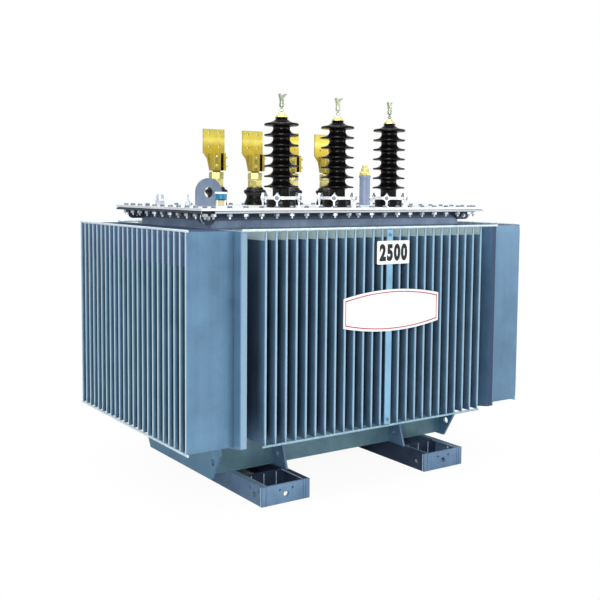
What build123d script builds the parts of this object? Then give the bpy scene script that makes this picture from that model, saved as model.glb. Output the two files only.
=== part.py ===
from build123d import *
import math
import os

# Three-phase oil transformer in a sealed tank with folded cooling fins.
# Millimetres. X runs along the tank, Y runs from the high-voltage front to the back, Z is up.
# The origin is on the floor, under the middle of the tank.

# Skids, each a pair of channels with a roller pocket at both ends
roller_gauge = 1070.0
skid_width = 288.0
skid_length = 1286.0
channel_height = 100.0
channel_flange = 34.0
channel_flange_thickness = 9.0
channel_web = 7.0
skid_end_thickness = 12.0
pocket_length = 200.0
web_hole_to_end = 71.0
pocket_plate_thickness = 10.0
axle_hole_diameter = 30.0
axle_hole_height = 47.0
keeper_hole_diameter = 12.0
keeper_hole_spacing = 77.0
keeper_hole_rise = 25.0

# Base frame between the skids and the tank
base_length = 1622.0
base_width = 640.0
base_height = 190.0
base_rail_thickness = 8.0
base_rail_flange = 60.0
end_plate_thickness = 14.0
end_plate_drop = 10.0
end_plate_top_reach = 125.0
end_plate_foot_reach = 42.0
end_plate_straight = 61.0
jacking_hole_diameter = 38.0
jacking_hole_reach = 60.0
jacking_hole_drop = 106.0
gusset_thickness = 12.0
gusset_inset = 8.0
gusset_foot = 135.0
gusset_head = 68.0
gusset_hole_diameter = 28.0

# Tank and its wide end plates
tank_depth = 812.0
header_width = 1428.0
header_thickness = 32.0
header_corner_drop = 45.0
header_flat_bottom = 900.0
neck_length = 1670.0
neck_height = 79.0
sheet_thickness = 6.0

# Cooling fins
fin_height = 1040.0
fin_thickness = 14.0
fin_seam = 4.0
fin_pinch = 45.0
front_fin_count = 25
front_fin_depth = 321.0
front_fin_span = 1424.0
side_fin_count = 23
side_fin_depth = 256.0
side_fin_span = 1300.0
tie_rod_diameter = 12.0
tie_rod_overrun = 12.0
tie_rod_inset = 7.0
weld_depth = 2.0

# Flange, gasket and cover
flange_length = 1890.0
flange_width = 1020.0
flange_thickness = 10.0
flange_notch_radius = 36.0
flange_notch_edge_distance = 39.0
gasket_thickness = 3.0
gasket_inset = 6.0
gasket_rim = 90.0
cover_thickness = 12.0

# Lugs
tank_lug_thickness = 14.0
tank_lug_height = 48.0
tank_lug_reach = 79.0
tank_lug_grip = 60.0
tank_lug_corner = 28.0
tank_lug_hole_diameter = 24.0
tank_lug_hole_reach = 28.0
cover_lug_edge_distance = 317.0
cover_lug_width = 154.0
cover_lug_height = 153.0
cover_lug_thickness = 20.0
cover_lug_hole_diameter = 60.0

# High-voltage bushings
hv_pitch = 368.0
hv_edge_distance = 188.0
hv_foot_diameter = 156.0
hv_foot_height = 42.0
hv_core_diameter = 90.0
hv_shed_diameter = 183.0
hv_shed_count = 7
hv_shed_pitch = 54.0
hv_first_shed = 110.0
hv_shed_edge = 9.0
hv_shed_flare = 0.3
hv_neck_diameter = 54.0
hv_neck_height = 11.0
hv_ring_diameter = 178.0
hv_ring_thickness = 16.0
hv_ring_height = 42.0
hv_ring_bore_clearance = 4.0
hv_cap_diameter = 50.0
hv_cap_top_diameter = 30.0
hv_cap_height = 27.0
hv_stud_diameter = 12.0
hv_stud_height = 30.0
hv_clamp_diameter = 26.0
hv_clamp_height = 20.0
hv_clamp_neck_diameter = 18.0
hv_clamp_neck_height = 12.0
hv_head_width = 42.0
hv_head_depth = 26.0
hv_head_height = 36.0
hv_head_slot = 12.0
hv_head_slot_depth = 24.0

# Low-voltage bushings
lv_pitch = 265.0
lv_edge_distance = 181.0
lv_foot_diameter = 128.0
lv_foot_height = 80.0
lv_waist_diameter = 106.0
lv_shed_diameter = 134.0
lv_porcelain_height = 106.0
lv_stud_diameter = 48.0
lv_stud_height = 196.0
lv_washer_diameter = 88.0
lv_washer_thickness = 6.0
lv_nut_across = 75.0
lv_nut_heights = (38.0, 42.0)
lv_nut_gap = 1.5
flag_width = 139.0
flag_height = 137.0
flag_thickness = 14.0
flag_setback = 25.0
flag_neck_height = 105.0
flag_shoulder_drop = 36.0
flag_shoulder_width = 82.0
flag_neck_width = 52.0
flag_hole_diameter = 14.0
flag_hole_spacing_x = 68.0
flag_hole_spacing_z = 80.0
flag_hole_rise = 6.0
clamp_outer_diameter = 80.0
clamp_height = 100.0
clamp_ear_reach = 70.0
clamp_ear_width = 50.0
clamp_slot = 18.0
clamp_bolt_diameter = 12.0
clamp_bolt_reach = 55.0
clamp_bolt_heights = (27.0, 77.0)

# Fittings on the cover
filler_edge_distances = (299.0, 260.0)
filler_diameter = 68.0
filler_bore = 50.0
filler_height = 188.0
filler_collar_diameter = 76.0
filler_collar_height = 14.0
filler_cap_hexagon = 70.0
filler_cap_height = 24.0
filler_cap_top_hexagon = 50.0
filler_cap_top_height = 42.0
pocket_edge_distances = (145.0, 265.0)
pocket_hexagon = 60.0
pocket_hexagon_height = 34.0
pocket_cap_diameter = 42.0
pocket_cap_height = 30.0
valve_edge_distances = (254.0, 390.0)
valve_diameter = 34.0
valve_height = 64.0
valve_tip_diameter = 10.0
gauge_edge_distances = (197.0, 160.0)
gauge_diameter = 64.0
gauge_height = 79.0
gauge_rim = 5.0
gauge_rim_height = 10.0

# Plates on the front
strip_position = 44.0
strip_width = 39.0
strip_thickness = 5.0
strip_end_gap = 6.0
number_plate_width = 217.0
number_plate_height = 122.0
number_plate_drop = 63.0
plate_thickness = 3.0
plate_offset = 22.0
name_plate_width = 643.0
name_plate_side_height = 151.0
name_plate_bulge = 34.0
name_plate_drop = 427.0

# Heights that follow from the sizes above
base_top = channel_height + base_height
fin_bottom = base_top + header_corner_drop
fin_top = fin_bottom + fin_height
flange_bottom = fin_top + neck_height
flange_top = flange_bottom + flange_thickness
gasket_top = flange_top + gasket_thickness
cover_top = gasket_top + cover_thickness

# Half sizes that several pieces share
half_base = base_length / 2
half_base_width = base_width / 2
half_tank = tank_depth / 2
header_outside = half_base + header_thickness
side_panel_outside = header_outside + sheet_thickness
front_fin_tip = half_tank + front_fin_depth
side_fin_tip = side_panel_outside + side_fin_depth

# Places on the cover, measured from its edges
half_length = flange_length / 2
half_width = flange_width / 2
hv_row = hv_edge_distance - half_width
lv_row = half_width - lv_edge_distance
cover_lug_position = cover_lug_edge_distance - half_length
filler_position = (half_length - filler_edge_distances[0], half_width - filler_edge_distances[1])
pocket_position = (pocket_edge_distances[0] - half_length, half_width - pocket_edge_distances[1])
valve_position = (valve_edge_distances[0] - half_length, half_width - valve_edge_distances[1])
gauge_position = (gauge_edge_distances[0] - half_length, gauge_edge_distances[1] - half_width)

os.makedirs("parts", exist_ok=True)


def write(piece, name):
    """Labels a finished piece and saves it under its own name."""
    piece.part.label = name
    export_step(piece.part, f"parts/{name}.step")


# Skids: four channels with their flanges turned towards the pocket
half_skid = skid_width / 2
channel_run = skid_length - 2 * skid_end_thickness
web_hole_rows = skid_length / 2 - web_hole_to_end
channels = (
    ("skid_left_outer_channel", -roller_gauge / 2 - half_skid, 1),
    ("skid_left_inner_channel", -roller_gauge / 2 + half_skid, -1),
    ("skid_right_inner_channel", roller_gauge / 2 - half_skid, 1),
    ("skid_right_outer_channel", roller_gauge / 2 + half_skid, -1),
)
for name, web_face, inward in channels:
    lip = web_face + inward * channel_flange
    web_inside = web_face + inward * channel_web
    with BuildPart() as channel:
        with BuildSketch(Plane.XZ.offset(-channel_run / 2)):
            with BuildLine():
                Polyline(
                    (web_face, 0),
                    (lip, 0),
                    (lip, channel_flange_thickness),
                    (web_inside, channel_flange_thickness),
                    (web_inside, channel_height - channel_flange_thickness),
                    (lip, channel_height - channel_flange_thickness),
                    (lip, channel_height),
                    (web_face, channel_height),
                    close=True,
                )
            make_face()
        extrude(amount=channel_run)
        # Axle and keeper holes at both ends of the web
        for end in (-1, 1):
            row = end * web_hole_rows
            with BuildSketch(Plane.YZ.offset(web_face)):
                with Locations((row, axle_hole_height)):
                    Circle(axle_hole_diameter / 2)
                with Locations((row, axle_hole_height + keeper_hole_rise)):
                    with GridLocations(keeper_hole_spacing, 1, 2, 1):
                        Circle(keeper_hole_diameter / 2)
            extrude(amount=inward * channel_web, mode=Mode.SUBTRACT)
    write(channel, name)

# End plates of the skids, drilled for the roller axle and its two keeper bolts
for side, skid_centre in (("left", -roller_gauge / 2), ("right", roller_gauge / 2)):
    with BuildPart() as end_plates:
        for end in (-1, 1):
            outer_face = end * skid_length / 2
            with BuildSketch(Plane.XZ.offset(-outer_face)):
                with Locations((skid_centre, channel_height / 2)):
                    Rectangle(skid_width, channel_height)
                with Locations((skid_centre, axle_hole_height)):
                    Circle(axle_hole_diameter / 2, mode=Mode.SUBTRACT)
                with Locations((skid_centre, axle_hole_height + keeper_hole_rise)):
                    with GridLocations(keeper_hole_spacing, 1, 2, 1):
                        Circle(keeper_hole_diameter / 2, mode=Mode.SUBTRACT)
            extrude(amount=end * skid_end_thickness)
    write(end_plates, f"skid_{side}_end_plates")

    # Plates that close the roller pockets, notched around the channel flanges
    between_webs = skid_width - 2 * channel_web
    between_lips = skid_width - 2 * channel_flange
    between_flanges = channel_height - 2 * channel_flange_thickness
    with BuildPart() as pocket_plates:
        for end in (-1, 1):
            pocket_back = end * (channel_run / 2 - pocket_length)
            with BuildSketch(Plane.XZ.offset(-pocket_back)):
                with Locations((skid_centre, channel_height / 2)):
                    Rectangle(between_webs, between_flanges)
                    Rectangle(between_lips, channel_height)
            extrude(amount=end * pocket_plate_thickness)
    write(pocket_plates, f"skid_{side}_pocket_plates")

# Base rails: channels laid along the front and the back of the base frame
rail_run = base_length - 2 * end_plate_thickness
for name, facing in (("base_rail_front", -1), ("base_rail_back", 1)):
    web_face = facing * half_base_width
    web_inside = facing * (half_base_width - base_rail_thickness)
    lip = facing * (half_base_width - base_rail_flange)
    with BuildPart() as rail:
        with BuildSketch(Plane.YZ.offset(-rail_run / 2)):
            with BuildLine():
                Polyline(
                    (web_face, channel_height),
                    (lip, channel_height),
                    (lip, channel_height + base_rail_thickness),
                    (web_inside, channel_height + base_rail_thickness),
                    (web_inside, base_top - base_rail_thickness),
                    (lip, base_top - base_rail_thickness),
                    (lip, base_top),
                    (web_face, base_top),
                    close=True,
                )
            make_face()
        extrude(amount=rail_run)
    write(rail, name)

# Base end plates, whose ears stand out past the rails and carry the jacking holes
ear_top = half_base_width + end_plate_top_reach
ear_foot = half_base_width + end_plate_foot_reach
plate_bottom = channel_height - end_plate_drop
ear_height = base_top - end_plate_straight
for name, facing in (("base_end_plate_left", -1), ("base_end_plate_right", 1)):
    with BuildPart() as end_plate:
        with BuildSketch(Plane.YZ.offset(facing * half_base)):
            with BuildLine():
                Polyline(
                    (-ear_foot, plate_bottom),
                    (ear_foot, plate_bottom),
                    (ear_top, ear_height),
                    (ear_top, base_top),
                    (-ear_top, base_top),
                    (-ear_top, ear_height),
                    close=True,
                )
            make_face()
            with Locations((0, base_top - jacking_hole_drop)):
                with GridLocations(base_width + 2 * jacking_hole_reach, 1, 2, 1):
                    Circle(jacking_hole_diameter / 2, mode=Mode.SUBTRACT)
        extrude(amount=-facing * end_plate_thickness)
    write(end_plate, name)

# Gussets that stand on the inner channels and brace the rails
gusset_centre = roller_gauge / 2 - half_skid + gusset_inset + gusset_thickness / 2
gusset_hole_y = half_base_width + (gusset_foot + gusset_head) / 4
with BuildPart() as gussets:
    for facing in (-1, 1):
        for x in (-gusset_centre, gusset_centre):
            with BuildSketch(Plane.YZ.offset(x - gusset_thickness / 2)):
                with BuildLine():
                    Polyline(
                        (facing * half_base_width, channel_height),
                        (facing * (half_base_width + gusset_foot), channel_height),
                        (facing * (half_base_width + gusset_head), base_top),
                        (facing * half_base_width, base_top),
                        close=True,
                    )
                make_face()
                with Locations((facing * gusset_hole_y, channel_height + base_height / 3)):
                    Circle(gusset_hole_diameter / 2, mode=Mode.SUBTRACT)
            extrude(amount=gusset_thickness)
write(gussets, "base_gussets")

# Tank body between the end headers, with the neck that carries the flange
panel_inside = half_tank - sheet_thickness
with BuildPart() as tank_body:
    with BuildSketch(Plane.XY.offset(base_top)):
        Rectangle(base_length, 2 * panel_inside)
    extrude(amount=fin_top - base_top)
    with BuildSketch(Plane.XY.offset(fin_top)):
        Rectangle(neck_length, tank_depth)
    extrude(amount=neck_height + flange_thickness)
write(tank_body, "tank_body")

# End headers, wider than the tank, with lower corners cut back towards the base
for name, facing in (("end_header_left", -1), ("end_header_right", 1)):
    with BuildPart() as header:
        with BuildSketch(Plane.YZ.offset(facing * half_base)):
            with BuildLine():
                Polyline(
                    (-header_flat_bottom / 2, base_top),
                    (header_flat_bottom / 2, base_top),
                    (header_width / 2, fin_bottom),
                    (header_width / 2, fin_top),
                    (-header_width / 2, fin_top),
                    (-header_width / 2, fin_bottom),
                    close=True,
                )
            make_face()
        extrude(amount=facing * header_thickness)
    write(header, name)


def fin_outline(centre):
    """One fin seen along its depth: flat sided, pinched to a welded seam at both ends."""
    half = fin_thickness / 2
    seam = fin_seam / 2
    Polyline(
        (centre - seam, fin_bottom),
        (centre + seam, fin_bottom),
        (centre + half, fin_bottom + fin_pinch),
        (centre + half, fin_top - fin_pinch),
        (centre + seam, fin_top),
        (centre - seam, fin_top),
        (centre - half, fin_top - fin_pinch),
        (centre - half, fin_bottom + fin_pinch),
        close=True,
    )


# Corrugated walls: a panel, its row of fins, and a tie rod over the fin ends top and bottom
top_rod = fin_top + tie_rod_diameter / 2 - weld_depth
bottom_rod = fin_bottom - tie_rod_diameter / 2 + weld_depth
walls = (
    ("corrugated_wall_front", Plane.XZ, half_tank, base_length, base_top, front_fin_count,
     front_fin_span, front_fin_depth, header_outside, front_fin_span / 2 + tie_rod_overrun, 1),
    ("corrugated_wall_back", Plane.XZ, -half_tank, base_length, base_top, front_fin_count,
     front_fin_span, front_fin_depth, header_outside, front_fin_span / 2 + tie_rod_overrun, -1),
    ("corrugated_wall_left", Plane.YZ, -side_panel_outside, header_width, fin_bottom,
     side_fin_count, side_fin_span, side_fin_depth, side_fin_span / 2 + tie_rod_overrun,
     side_fin_span / 2 + tie_rod_overrun, -1),
    ("corrugated_wall_right", Plane.YZ, side_panel_outside, header_width, fin_bottom,
     side_fin_count, side_fin_span, side_fin_depth, side_fin_span / 2 + tie_rod_overrun,
     side_fin_span / 2 + tie_rod_overrun, 1),
)
for name, plane, face, panel_width, panel_bottom, count, span, depth, top_half, low_half, way in walls:
    rod_row = face + way * (depth - tie_rod_inset)
    with BuildPart() as wall:
        with BuildSketch(plane.offset(face)):
            with Locations((0, (panel_bottom + fin_top) / 2)):
                Rectangle(panel_width, fin_top - panel_bottom)
        extrude(amount=-way * sheet_thickness)
        with BuildSketch(plane.offset(face)):
            for place in range(count):
                with BuildLine():
                    fin_outline(-span / 2 + place * span / (count - 1))
                make_face()
        extrude(amount=way * depth)
        for rod_height, half_run in ((top_rod, top_half), (bottom_rod, low_half)):
            # A rod lies across the fins, so its cross-section is drawn square to the wall
            across = Plane.YZ if plane == Plane.XZ else Plane.XZ
            centre = -rod_row if plane == Plane.XZ else rod_row
            with BuildSketch(across.offset(-half_run)):
                with Locations((centre, rod_height)):
                    Circle(tie_rod_diameter / 2)
            extrude(amount=2 * half_run)
    write(wall, name)


def flange_outline(inset):
    """The flange's outline: a rectangle with one round bite in its front edge, over the front left lug."""
    Rectangle(flange_length - 2 * inset, flange_width - 2 * inset)
    with Locations((flange_notch_edge_distance - half_length, -half_width)):
        Circle(flange_notch_radius + inset, mode=Mode.SUBTRACT)


# Flange around the neck, with the gasket and the cover on it
with BuildPart() as tank_flange:
    with BuildSketch(Plane.XY.offset(flange_bottom)):
        flange_outline(0)
        Rectangle(neck_length, tank_depth, mode=Mode.SUBTRACT)
    extrude(amount=flange_thickness)
write(tank_flange, "tank_flange")

with BuildPart() as cover_gasket:
    with BuildSketch(Plane.XY.offset(flange_top)):
        flange_outline(gasket_inset)
        Rectangle(flange_length - 2 * gasket_rim, flange_width - 2 * gasket_rim, mode=Mode.SUBTRACT)
    extrude(amount=gasket_thickness)
write(cover_gasket, "cover_gasket")

with BuildPart() as cover_plate:
    with BuildSketch(Plane.XY.offset(gasket_top)):
        Rectangle(flange_length, flange_width)
    extrude(amount=cover_thickness)
write(cover_plate, "cover_plate")

# Tank lugs, welded flat to the long sides of the neck and reaching past its corners
lug_bottom = flange_bottom - tank_lug_height
lug_tip = neck_length / 2 + tank_lug_reach
lug_hole_x = neck_length / 2 + tank_lug_hole_reach
corner_depth = tank_lug_corner * (1 - math.cos(math.radians(45)))
with BuildPart() as tank_lugs:
    for facing in (-1, 1):
        for end in (-1, 1):
            with BuildSketch(Plane.XZ.offset(facing * half_tank)):
                with BuildLine():
                    Line((end * lug_tip, flange_bottom), (end * lug_tip, lug_bottom + tank_lug_corner))
                    ThreePointArc(
                        (end * lug_tip, lug_bottom + tank_lug_corner),
                        (end * (lug_tip - corner_depth), lug_bottom + corner_depth),
                        (end * (lug_tip - tank_lug_corner), lug_bottom),
                    )
                    Polyline(
                        (end * (lug_tip - tank_lug_corner), lug_bottom),
                        (end * neck_length / 2, lug_bottom),
                        (end * (neck_length / 2 - tank_lug_grip), flange_bottom),
                        (end * lug_tip, flange_bottom),
                    )
                make_face()
                with Locations((end * lug_hole_x, flange_bottom - tank_lug_height / 2)):
                    Circle(tank_lug_hole_diameter / 2, mode=Mode.SUBTRACT)
            extrude(amount=facing * tank_lug_thickness)
write(tank_lugs, "tank_corner_lugs")

# Lifting lug on the cover, round-topped with one large eye
eye_height = cover_top + cover_lug_height - cover_lug_width / 2
lug_left = cover_lug_position - cover_lug_width / 2
lug_right = cover_lug_position + cover_lug_width / 2
with BuildPart() as cover_lug:
    with BuildSketch(Plane.XZ.offset(-cover_lug_thickness / 2)):
        with BuildLine():
            Polyline((lug_left, eye_height), (lug_left, cover_top), (lug_right, cover_top), (lug_right, eye_height))
            ThreePointArc(
                (lug_right, eye_height),
                (cover_lug_position, cover_top + cover_lug_height),
                (lug_left, eye_height),
            )
        make_face()
        with Locations((cover_lug_position, eye_height)):
            Circle(cover_lug_hole_diameter / 2, mode=Mode.SUBTRACT)
    extrude(amount=cover_lug_thickness)
write(cover_lug, "cover_lifting_lug")

# High-voltage bushings: shedded porcelain, ring clamp and terminal
hv_core = hv_core_diameter / 2
hv_tip = hv_shed_diameter / 2
hv_last_shed = hv_first_shed + (hv_shed_count - 1) * hv_shed_pitch
hv_neck_foot = hv_last_shed + hv_shed_pitch / 2
hv_top = hv_neck_foot + hv_neck_height
for place in range(3):
    x = (place - 1) * hv_pitch
    with BuildPart() as hv_porcelain:
        with BuildSketch(Plane.XZ.offset(-hv_row)):
            with BuildLine():
                Polyline((x, cover_top), (x + hv_foot_diameter / 2, cover_top))
                Polyline(
                    (x + hv_foot_diameter / 2, cover_top),
                    (x + hv_foot_diameter / 2, cover_top + hv_foot_height),
                    (x + hv_core, cover_top + hv_foot_height),
                    (x + hv_core, cover_top + hv_first_shed - hv_shed_edge / 2),
                )
                for shed in range(hv_shed_count):
                    rim = cover_top + hv_first_shed + shed * hv_shed_pitch
                    last = shed == hv_shed_count - 1
                    shed_root = hv_neck_diameter / 2 if last else hv_core
                    rise = rim + hv_shed_pitch / 2
                    ledge = (x + hv_tip, rim - hv_shed_edge / 2)
                    lip = (x + hv_tip, rim + hv_shed_edge / 2)
                    Line((x + hv_core, rim - hv_shed_edge / 2), ledge)
                    Line(ledge, lip)
                    # The top of a shed is hollowed: it starts flat at the lip and climbs at the core
                    hollow = rim + hv_shed_edge / 2 + hv_shed_flare * (rise - rim - hv_shed_edge / 2)
                    ThreePointArc(lip, (x + (shed_root + hv_tip) / 2, hollow), (x + shed_root, rise))
                    if not last:
                        Line((x + shed_root, rise), (x + hv_core, rim + hv_shed_pitch - hv_shed_edge / 2))
                Polyline(
                    (x + hv_neck_diameter / 2, cover_top + hv_neck_foot),
                    (x + hv_neck_diameter / 2, cover_top + hv_top),
                    (x, cover_top + hv_top),
                    (x, cover_top),
                )
            make_face()
        revolve(axis=Axis((x, hv_row, 0), (0, 0, 1)))
    write(hv_porcelain, f"hv_porcelain_{place + 1}")

    with BuildPart() as hv_ring:
        with BuildSketch(Plane.XY.offset(cover_top + hv_ring_height)):
            with Locations((x, hv_row)):
                Circle(hv_ring_diameter / 2)
                Circle(hv_core + hv_ring_bore_clearance / 2, mode=Mode.SUBTRACT)
        extrude(amount=hv_ring_thickness)
    write(hv_ring, f"hv_clamp_ring_{place + 1}")

    cap_foot = cover_top + hv_top
    stud_top = cap_foot + hv_cap_height + hv_stud_height
    head_bottom = stud_top + hv_clamp_height + hv_clamp_neck_height
    with BuildPart() as hv_terminal:
        with Locations((x, hv_row, cap_foot)):
            Cone(
                hv_cap_diameter / 2,
                hv_cap_top_diameter / 2,
                hv_cap_height,
                align=(Align.CENTER, Align.CENTER, Align.MIN),
            )
        with BuildSketch(Plane.XY.offset(cap_foot + hv_cap_height)):
            with Locations((x, hv_row)):
                Circle(hv_stud_diameter / 2)
        extrude(amount=hv_stud_height)
        with BuildSketch(Plane.XY.offset(stud_top)):
            with Locations((x, hv_row)):
                Circle(hv_clamp_diameter / 2)
        extrude(amount=hv_clamp_height)
        with BuildSketch(Plane.XY.offset(stud_top + hv_clamp_height)):
            with Locations((x, hv_row)):
                Circle(hv_clamp_neck_diameter / 2)
        extrude(amount=hv_clamp_neck_height)
        with BuildSketch(Plane.XY.offset(head_bottom)):
            with Locations((x, hv_row)):
                Rectangle(hv_head_width, hv_head_depth)
        extrude(amount=hv_head_height)
        # The slot in the head takes the line conductor
        with BuildSketch(Plane.XY.offset(head_bottom + hv_head_height - hv_head_slot_depth)):
            with Locations((x, hv_row)):
                Rectangle(hv_head_slot, hv_head_depth)
        extrude(amount=hv_head_slot_depth, mode=Mode.SUBTRACT)
    write(hv_terminal, f"hv_terminal_{place + 1}")

# Low-voltage bushings: bell porcelain, threaded stud with two nuts, and a clamped flag
lv_top = cover_top + lv_porcelain_height
nut_foot = lv_top + lv_washer_thickness
nut_top = nut_foot + sum(lv_nut_heights) + lv_nut_gap
clamp_bottom = lv_top + lv_stud_height - clamp_height
nut_corner = lv_nut_across / 2 / math.cos(math.radians(30))
for place in range(4):
    x = (place - 1.5) * lv_pitch
    with BuildPart() as lv_porcelain:
        with BuildSketch(Plane.XZ.offset(-lv_row)):
            shed_bottom = cover_top + lv_foot_height
            with BuildLine():
                Polyline(
                    (x, cover_top),
                    (x + lv_foot_diameter / 2, cover_top),
                    (x + lv_waist_diameter / 2, shed_bottom),
                    (x + lv_shed_diameter / 2, shed_bottom),
                    (x + lv_shed_diameter / 2, shed_bottom + hv_shed_edge),
                    (x + lv_waist_diameter / 2, lv_top),
                    (x, lv_top),
                    close=True,
                )
            make_face()
        revolve(axis=Axis((x, lv_row, 0), (0, 0, 1)))
    write(lv_porcelain, f"lv_porcelain_{place + 1}")

    with BuildPart() as lv_stud:
        with BuildSketch(Plane.XY.offset(lv_top)):
            with Locations((x, lv_row)):
                Circle(lv_washer_diameter / 2)
        extrude(amount=lv_washer_thickness)
        with BuildSketch(Plane.XY.offset(lv_top)):
            with Locations((x, lv_row)):
                Circle(lv_stud_diameter / 2)
        extrude(amount=lv_stud_height)
        for foot, height in ((nut_foot, lv_nut_heights[0]), (nut_top - lv_nut_heights[1], lv_nut_heights[1])):
            with BuildSketch(Plane.XY.offset(foot)):
                with Locations((x, lv_row)):
                    RegularPolygon(nut_corner, 6)
            extrude(amount=height)
    write(lv_stud, f"lv_stud_{place + 1}")

    flag_bottom = clamp_bottom + flag_neck_height
    flag_front = lv_row + flag_setback
    flag_back = flag_front + flag_thickness
    with BuildPart() as lv_flag:
        # Clamp: a ring around the stud, split at the front between two ears
        with BuildSketch(Plane.XY.offset(clamp_bottom)):
            with Locations((x, lv_row)):
                Circle(clamp_outer_diameter / 2)
            with Locations((x, lv_row - clamp_ear_reach / 2)):
                Rectangle(clamp_ear_width, clamp_ear_reach)
            with Locations((x, (lv_row + flag_back) / 2)):
                Rectangle(flag_neck_width, flag_back - lv_row)
            with Locations((x, lv_row)):
                Circle(lv_stud_diameter / 2, mode=Mode.SUBTRACT)
            with Locations((x, lv_row - clamp_ear_reach / 2)):
                Rectangle(clamp_slot, clamp_ear_reach, mode=Mode.SUBTRACT)
        extrude(amount=clamp_height)
        # Two bolts pull the ears together
        with BuildSketch(Plane.YZ.offset(x - clamp_slot / 2)):
            for bolt_height in clamp_bolt_heights:
                with Locations((lv_row - clamp_bolt_reach, clamp_bottom + bolt_height)):
                    Circle(clamp_bolt_diameter / 2)
        extrude(amount=clamp_slot)
        # Flat palm that stands up from the back of the clamp
        with BuildSketch(Plane.XZ.offset(-flag_back)):
            with BuildLine():
                Polyline(
                    (x - flag_neck_width / 2, clamp_bottom),
                    (x + flag_neck_width / 2, clamp_bottom),
                    (x + flag_shoulder_width / 2, flag_bottom - flag_shoulder_drop),
                    (x + flag_width / 2, flag_bottom),
                    (x + flag_width / 2, flag_bottom + flag_height),
                    (x - flag_width / 2, flag_bottom + flag_height),
                    (x - flag_width / 2, flag_bottom),
                    (x - flag_shoulder_width / 2, flag_bottom - flag_shoulder_drop),
                    close=True,
                )
            make_face()
            with Locations((x, flag_bottom + flag_height / 2 + flag_hole_rise)):
                with GridLocations(flag_hole_spacing_x, flag_hole_spacing_z, 2, 2):
                    Circle(flag_hole_diameter / 2, mode=Mode.SUBTRACT)
        extrude(amount=flag_thickness)
    write(lv_flag, f"lv_flag_{place + 1}")

# Filler pipe with its screw cap
filler_top = cover_top + filler_height
with BuildPart() as filler_pipe:
    with BuildSketch(Plane.XY.offset(cover_top)):
        with Locations(filler_position):
            Circle(filler_diameter / 2)
            Circle(filler_bore / 2, mode=Mode.SUBTRACT)
    extrude(amount=filler_height)
    with BuildSketch(Plane.XY.offset(filler_top - filler_collar_height)):
        with Locations(filler_position):
            Circle(filler_collar_diameter / 2)
            Circle(filler_bore / 2, mode=Mode.SUBTRACT)
    extrude(amount=filler_collar_height)
write(filler_pipe, "filler_pipe")

with BuildPart() as filler_cap:
    with BuildSketch(Plane.XY.offset(filler_top)):
        with Locations(filler_position):
            RegularPolygon(filler_cap_hexagon / 2, 6)
    extrude(amount=filler_cap_height)
    with BuildSketch(Plane.XY.offset(filler_top + filler_cap_height)):
        with Locations(filler_position):
            RegularPolygon(filler_cap_top_hexagon / 2, 6)
    extrude(amount=filler_cap_top_height)
write(filler_cap, "filler_cap")

# Thermometer pocket, vent valve and oil level gauge
with BuildPart() as thermometer_pocket:
    with BuildSketch(Plane.XY.offset(cover_top)):
        with Locations(pocket_position):
            RegularPolygon(pocket_hexagon / 2, 6)
    extrude(amount=pocket_hexagon_height)
    with BuildSketch(Plane.XY.offset(cover_top + pocket_hexagon_height)):
        with Locations(pocket_position):
            Circle(pocket_cap_diameter / 2)
    extrude(amount=pocket_cap_height)
write(thermometer_pocket, "thermometer_pocket")

with BuildPart() as vent_valve:
    with Locations((*valve_position, cover_top)):
        Cylinder(
            valve_diameter / 2,
            valve_height / 3,
            align=(Align.CENTER, Align.CENTER, Align.MIN),
        )
    with Locations((*valve_position, cover_top + valve_height / 3)):
        Cone(
            valve_diameter / 2,
            valve_tip_diameter / 2,
            2 * valve_height / 3,
            align=(Align.CENTER, Align.CENTER, Align.MIN),
        )
write(vent_valve, "vent_valve")

with BuildPart() as oil_gauge:
    with BuildSketch(Plane.XY.offset(cover_top)):
        with Locations(gauge_position):
            Circle(gauge_diameter / 2 - gauge_rim)
    extrude(amount=gauge_height)
    for rim_bottom in (cover_top, cover_top + gauge_height - gauge_rim_height):
        with BuildSketch(Plane.XY.offset(rim_bottom)):
            with Locations(gauge_position):
                Circle(gauge_diameter / 2)
        extrude(amount=gauge_rim_height)
write(oil_gauge, "oil_gauge")

# Strip down the front fins, with the number plate and the name plate on it
strip_front = front_fin_tip + strip_thickness
with BuildPart() as plate_strip:
    with BuildSketch(Plane.XZ.offset(front_fin_tip)):
        with Locations((strip_position, (fin_bottom + fin_top) / 2)):
            Rectangle(strip_width, fin_height - 2 * strip_end_gap)
    extrude(amount=strip_thickness)
write(plate_strip, "plate_strip")

plate_centre = strip_position + plate_offset
with BuildPart() as number_plate:
    with BuildSketch(Plane.XZ.offset(strip_front)):
        with Locations((plate_centre, fin_top - number_plate_drop - number_plate_height / 2)):
            Rectangle(number_plate_width, number_plate_height)
    extrude(amount=plate_thickness)
write(number_plate, "number_plate")

name_plate_centre = fin_top - name_plate_drop
half_name = name_plate_width / 2
half_side = name_plate_side_height / 2
name_peak = half_side + name_plate_bulge
with BuildPart() as name_plate:
    with BuildSketch(Plane.XZ.offset(strip_front)):
        with BuildLine():
            ThreePointArc(
                (plate_centre - half_name, name_plate_centre + half_side),
                (plate_centre, name_plate_centre + name_peak),
                (plate_centre + half_name, name_plate_centre + half_side),
            )
            Line(
                (plate_centre + half_name, name_plate_centre + half_side),
                (plate_centre + half_name, name_plate_centre - half_side),
            )
            ThreePointArc(
                (plate_centre + half_name, name_plate_centre - half_side),
                (plate_centre, name_plate_centre - name_peak),
                (plate_centre - half_name, name_plate_centre - half_side),
            )
            Line(
                (plate_centre - half_name, name_plate_centre - half_side),
                (plate_centre - half_name, name_plate_centre + half_side),
            )
        make_face()
    extrude(amount=plate_thickness)
write(name_plate, "name_plate")
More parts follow.
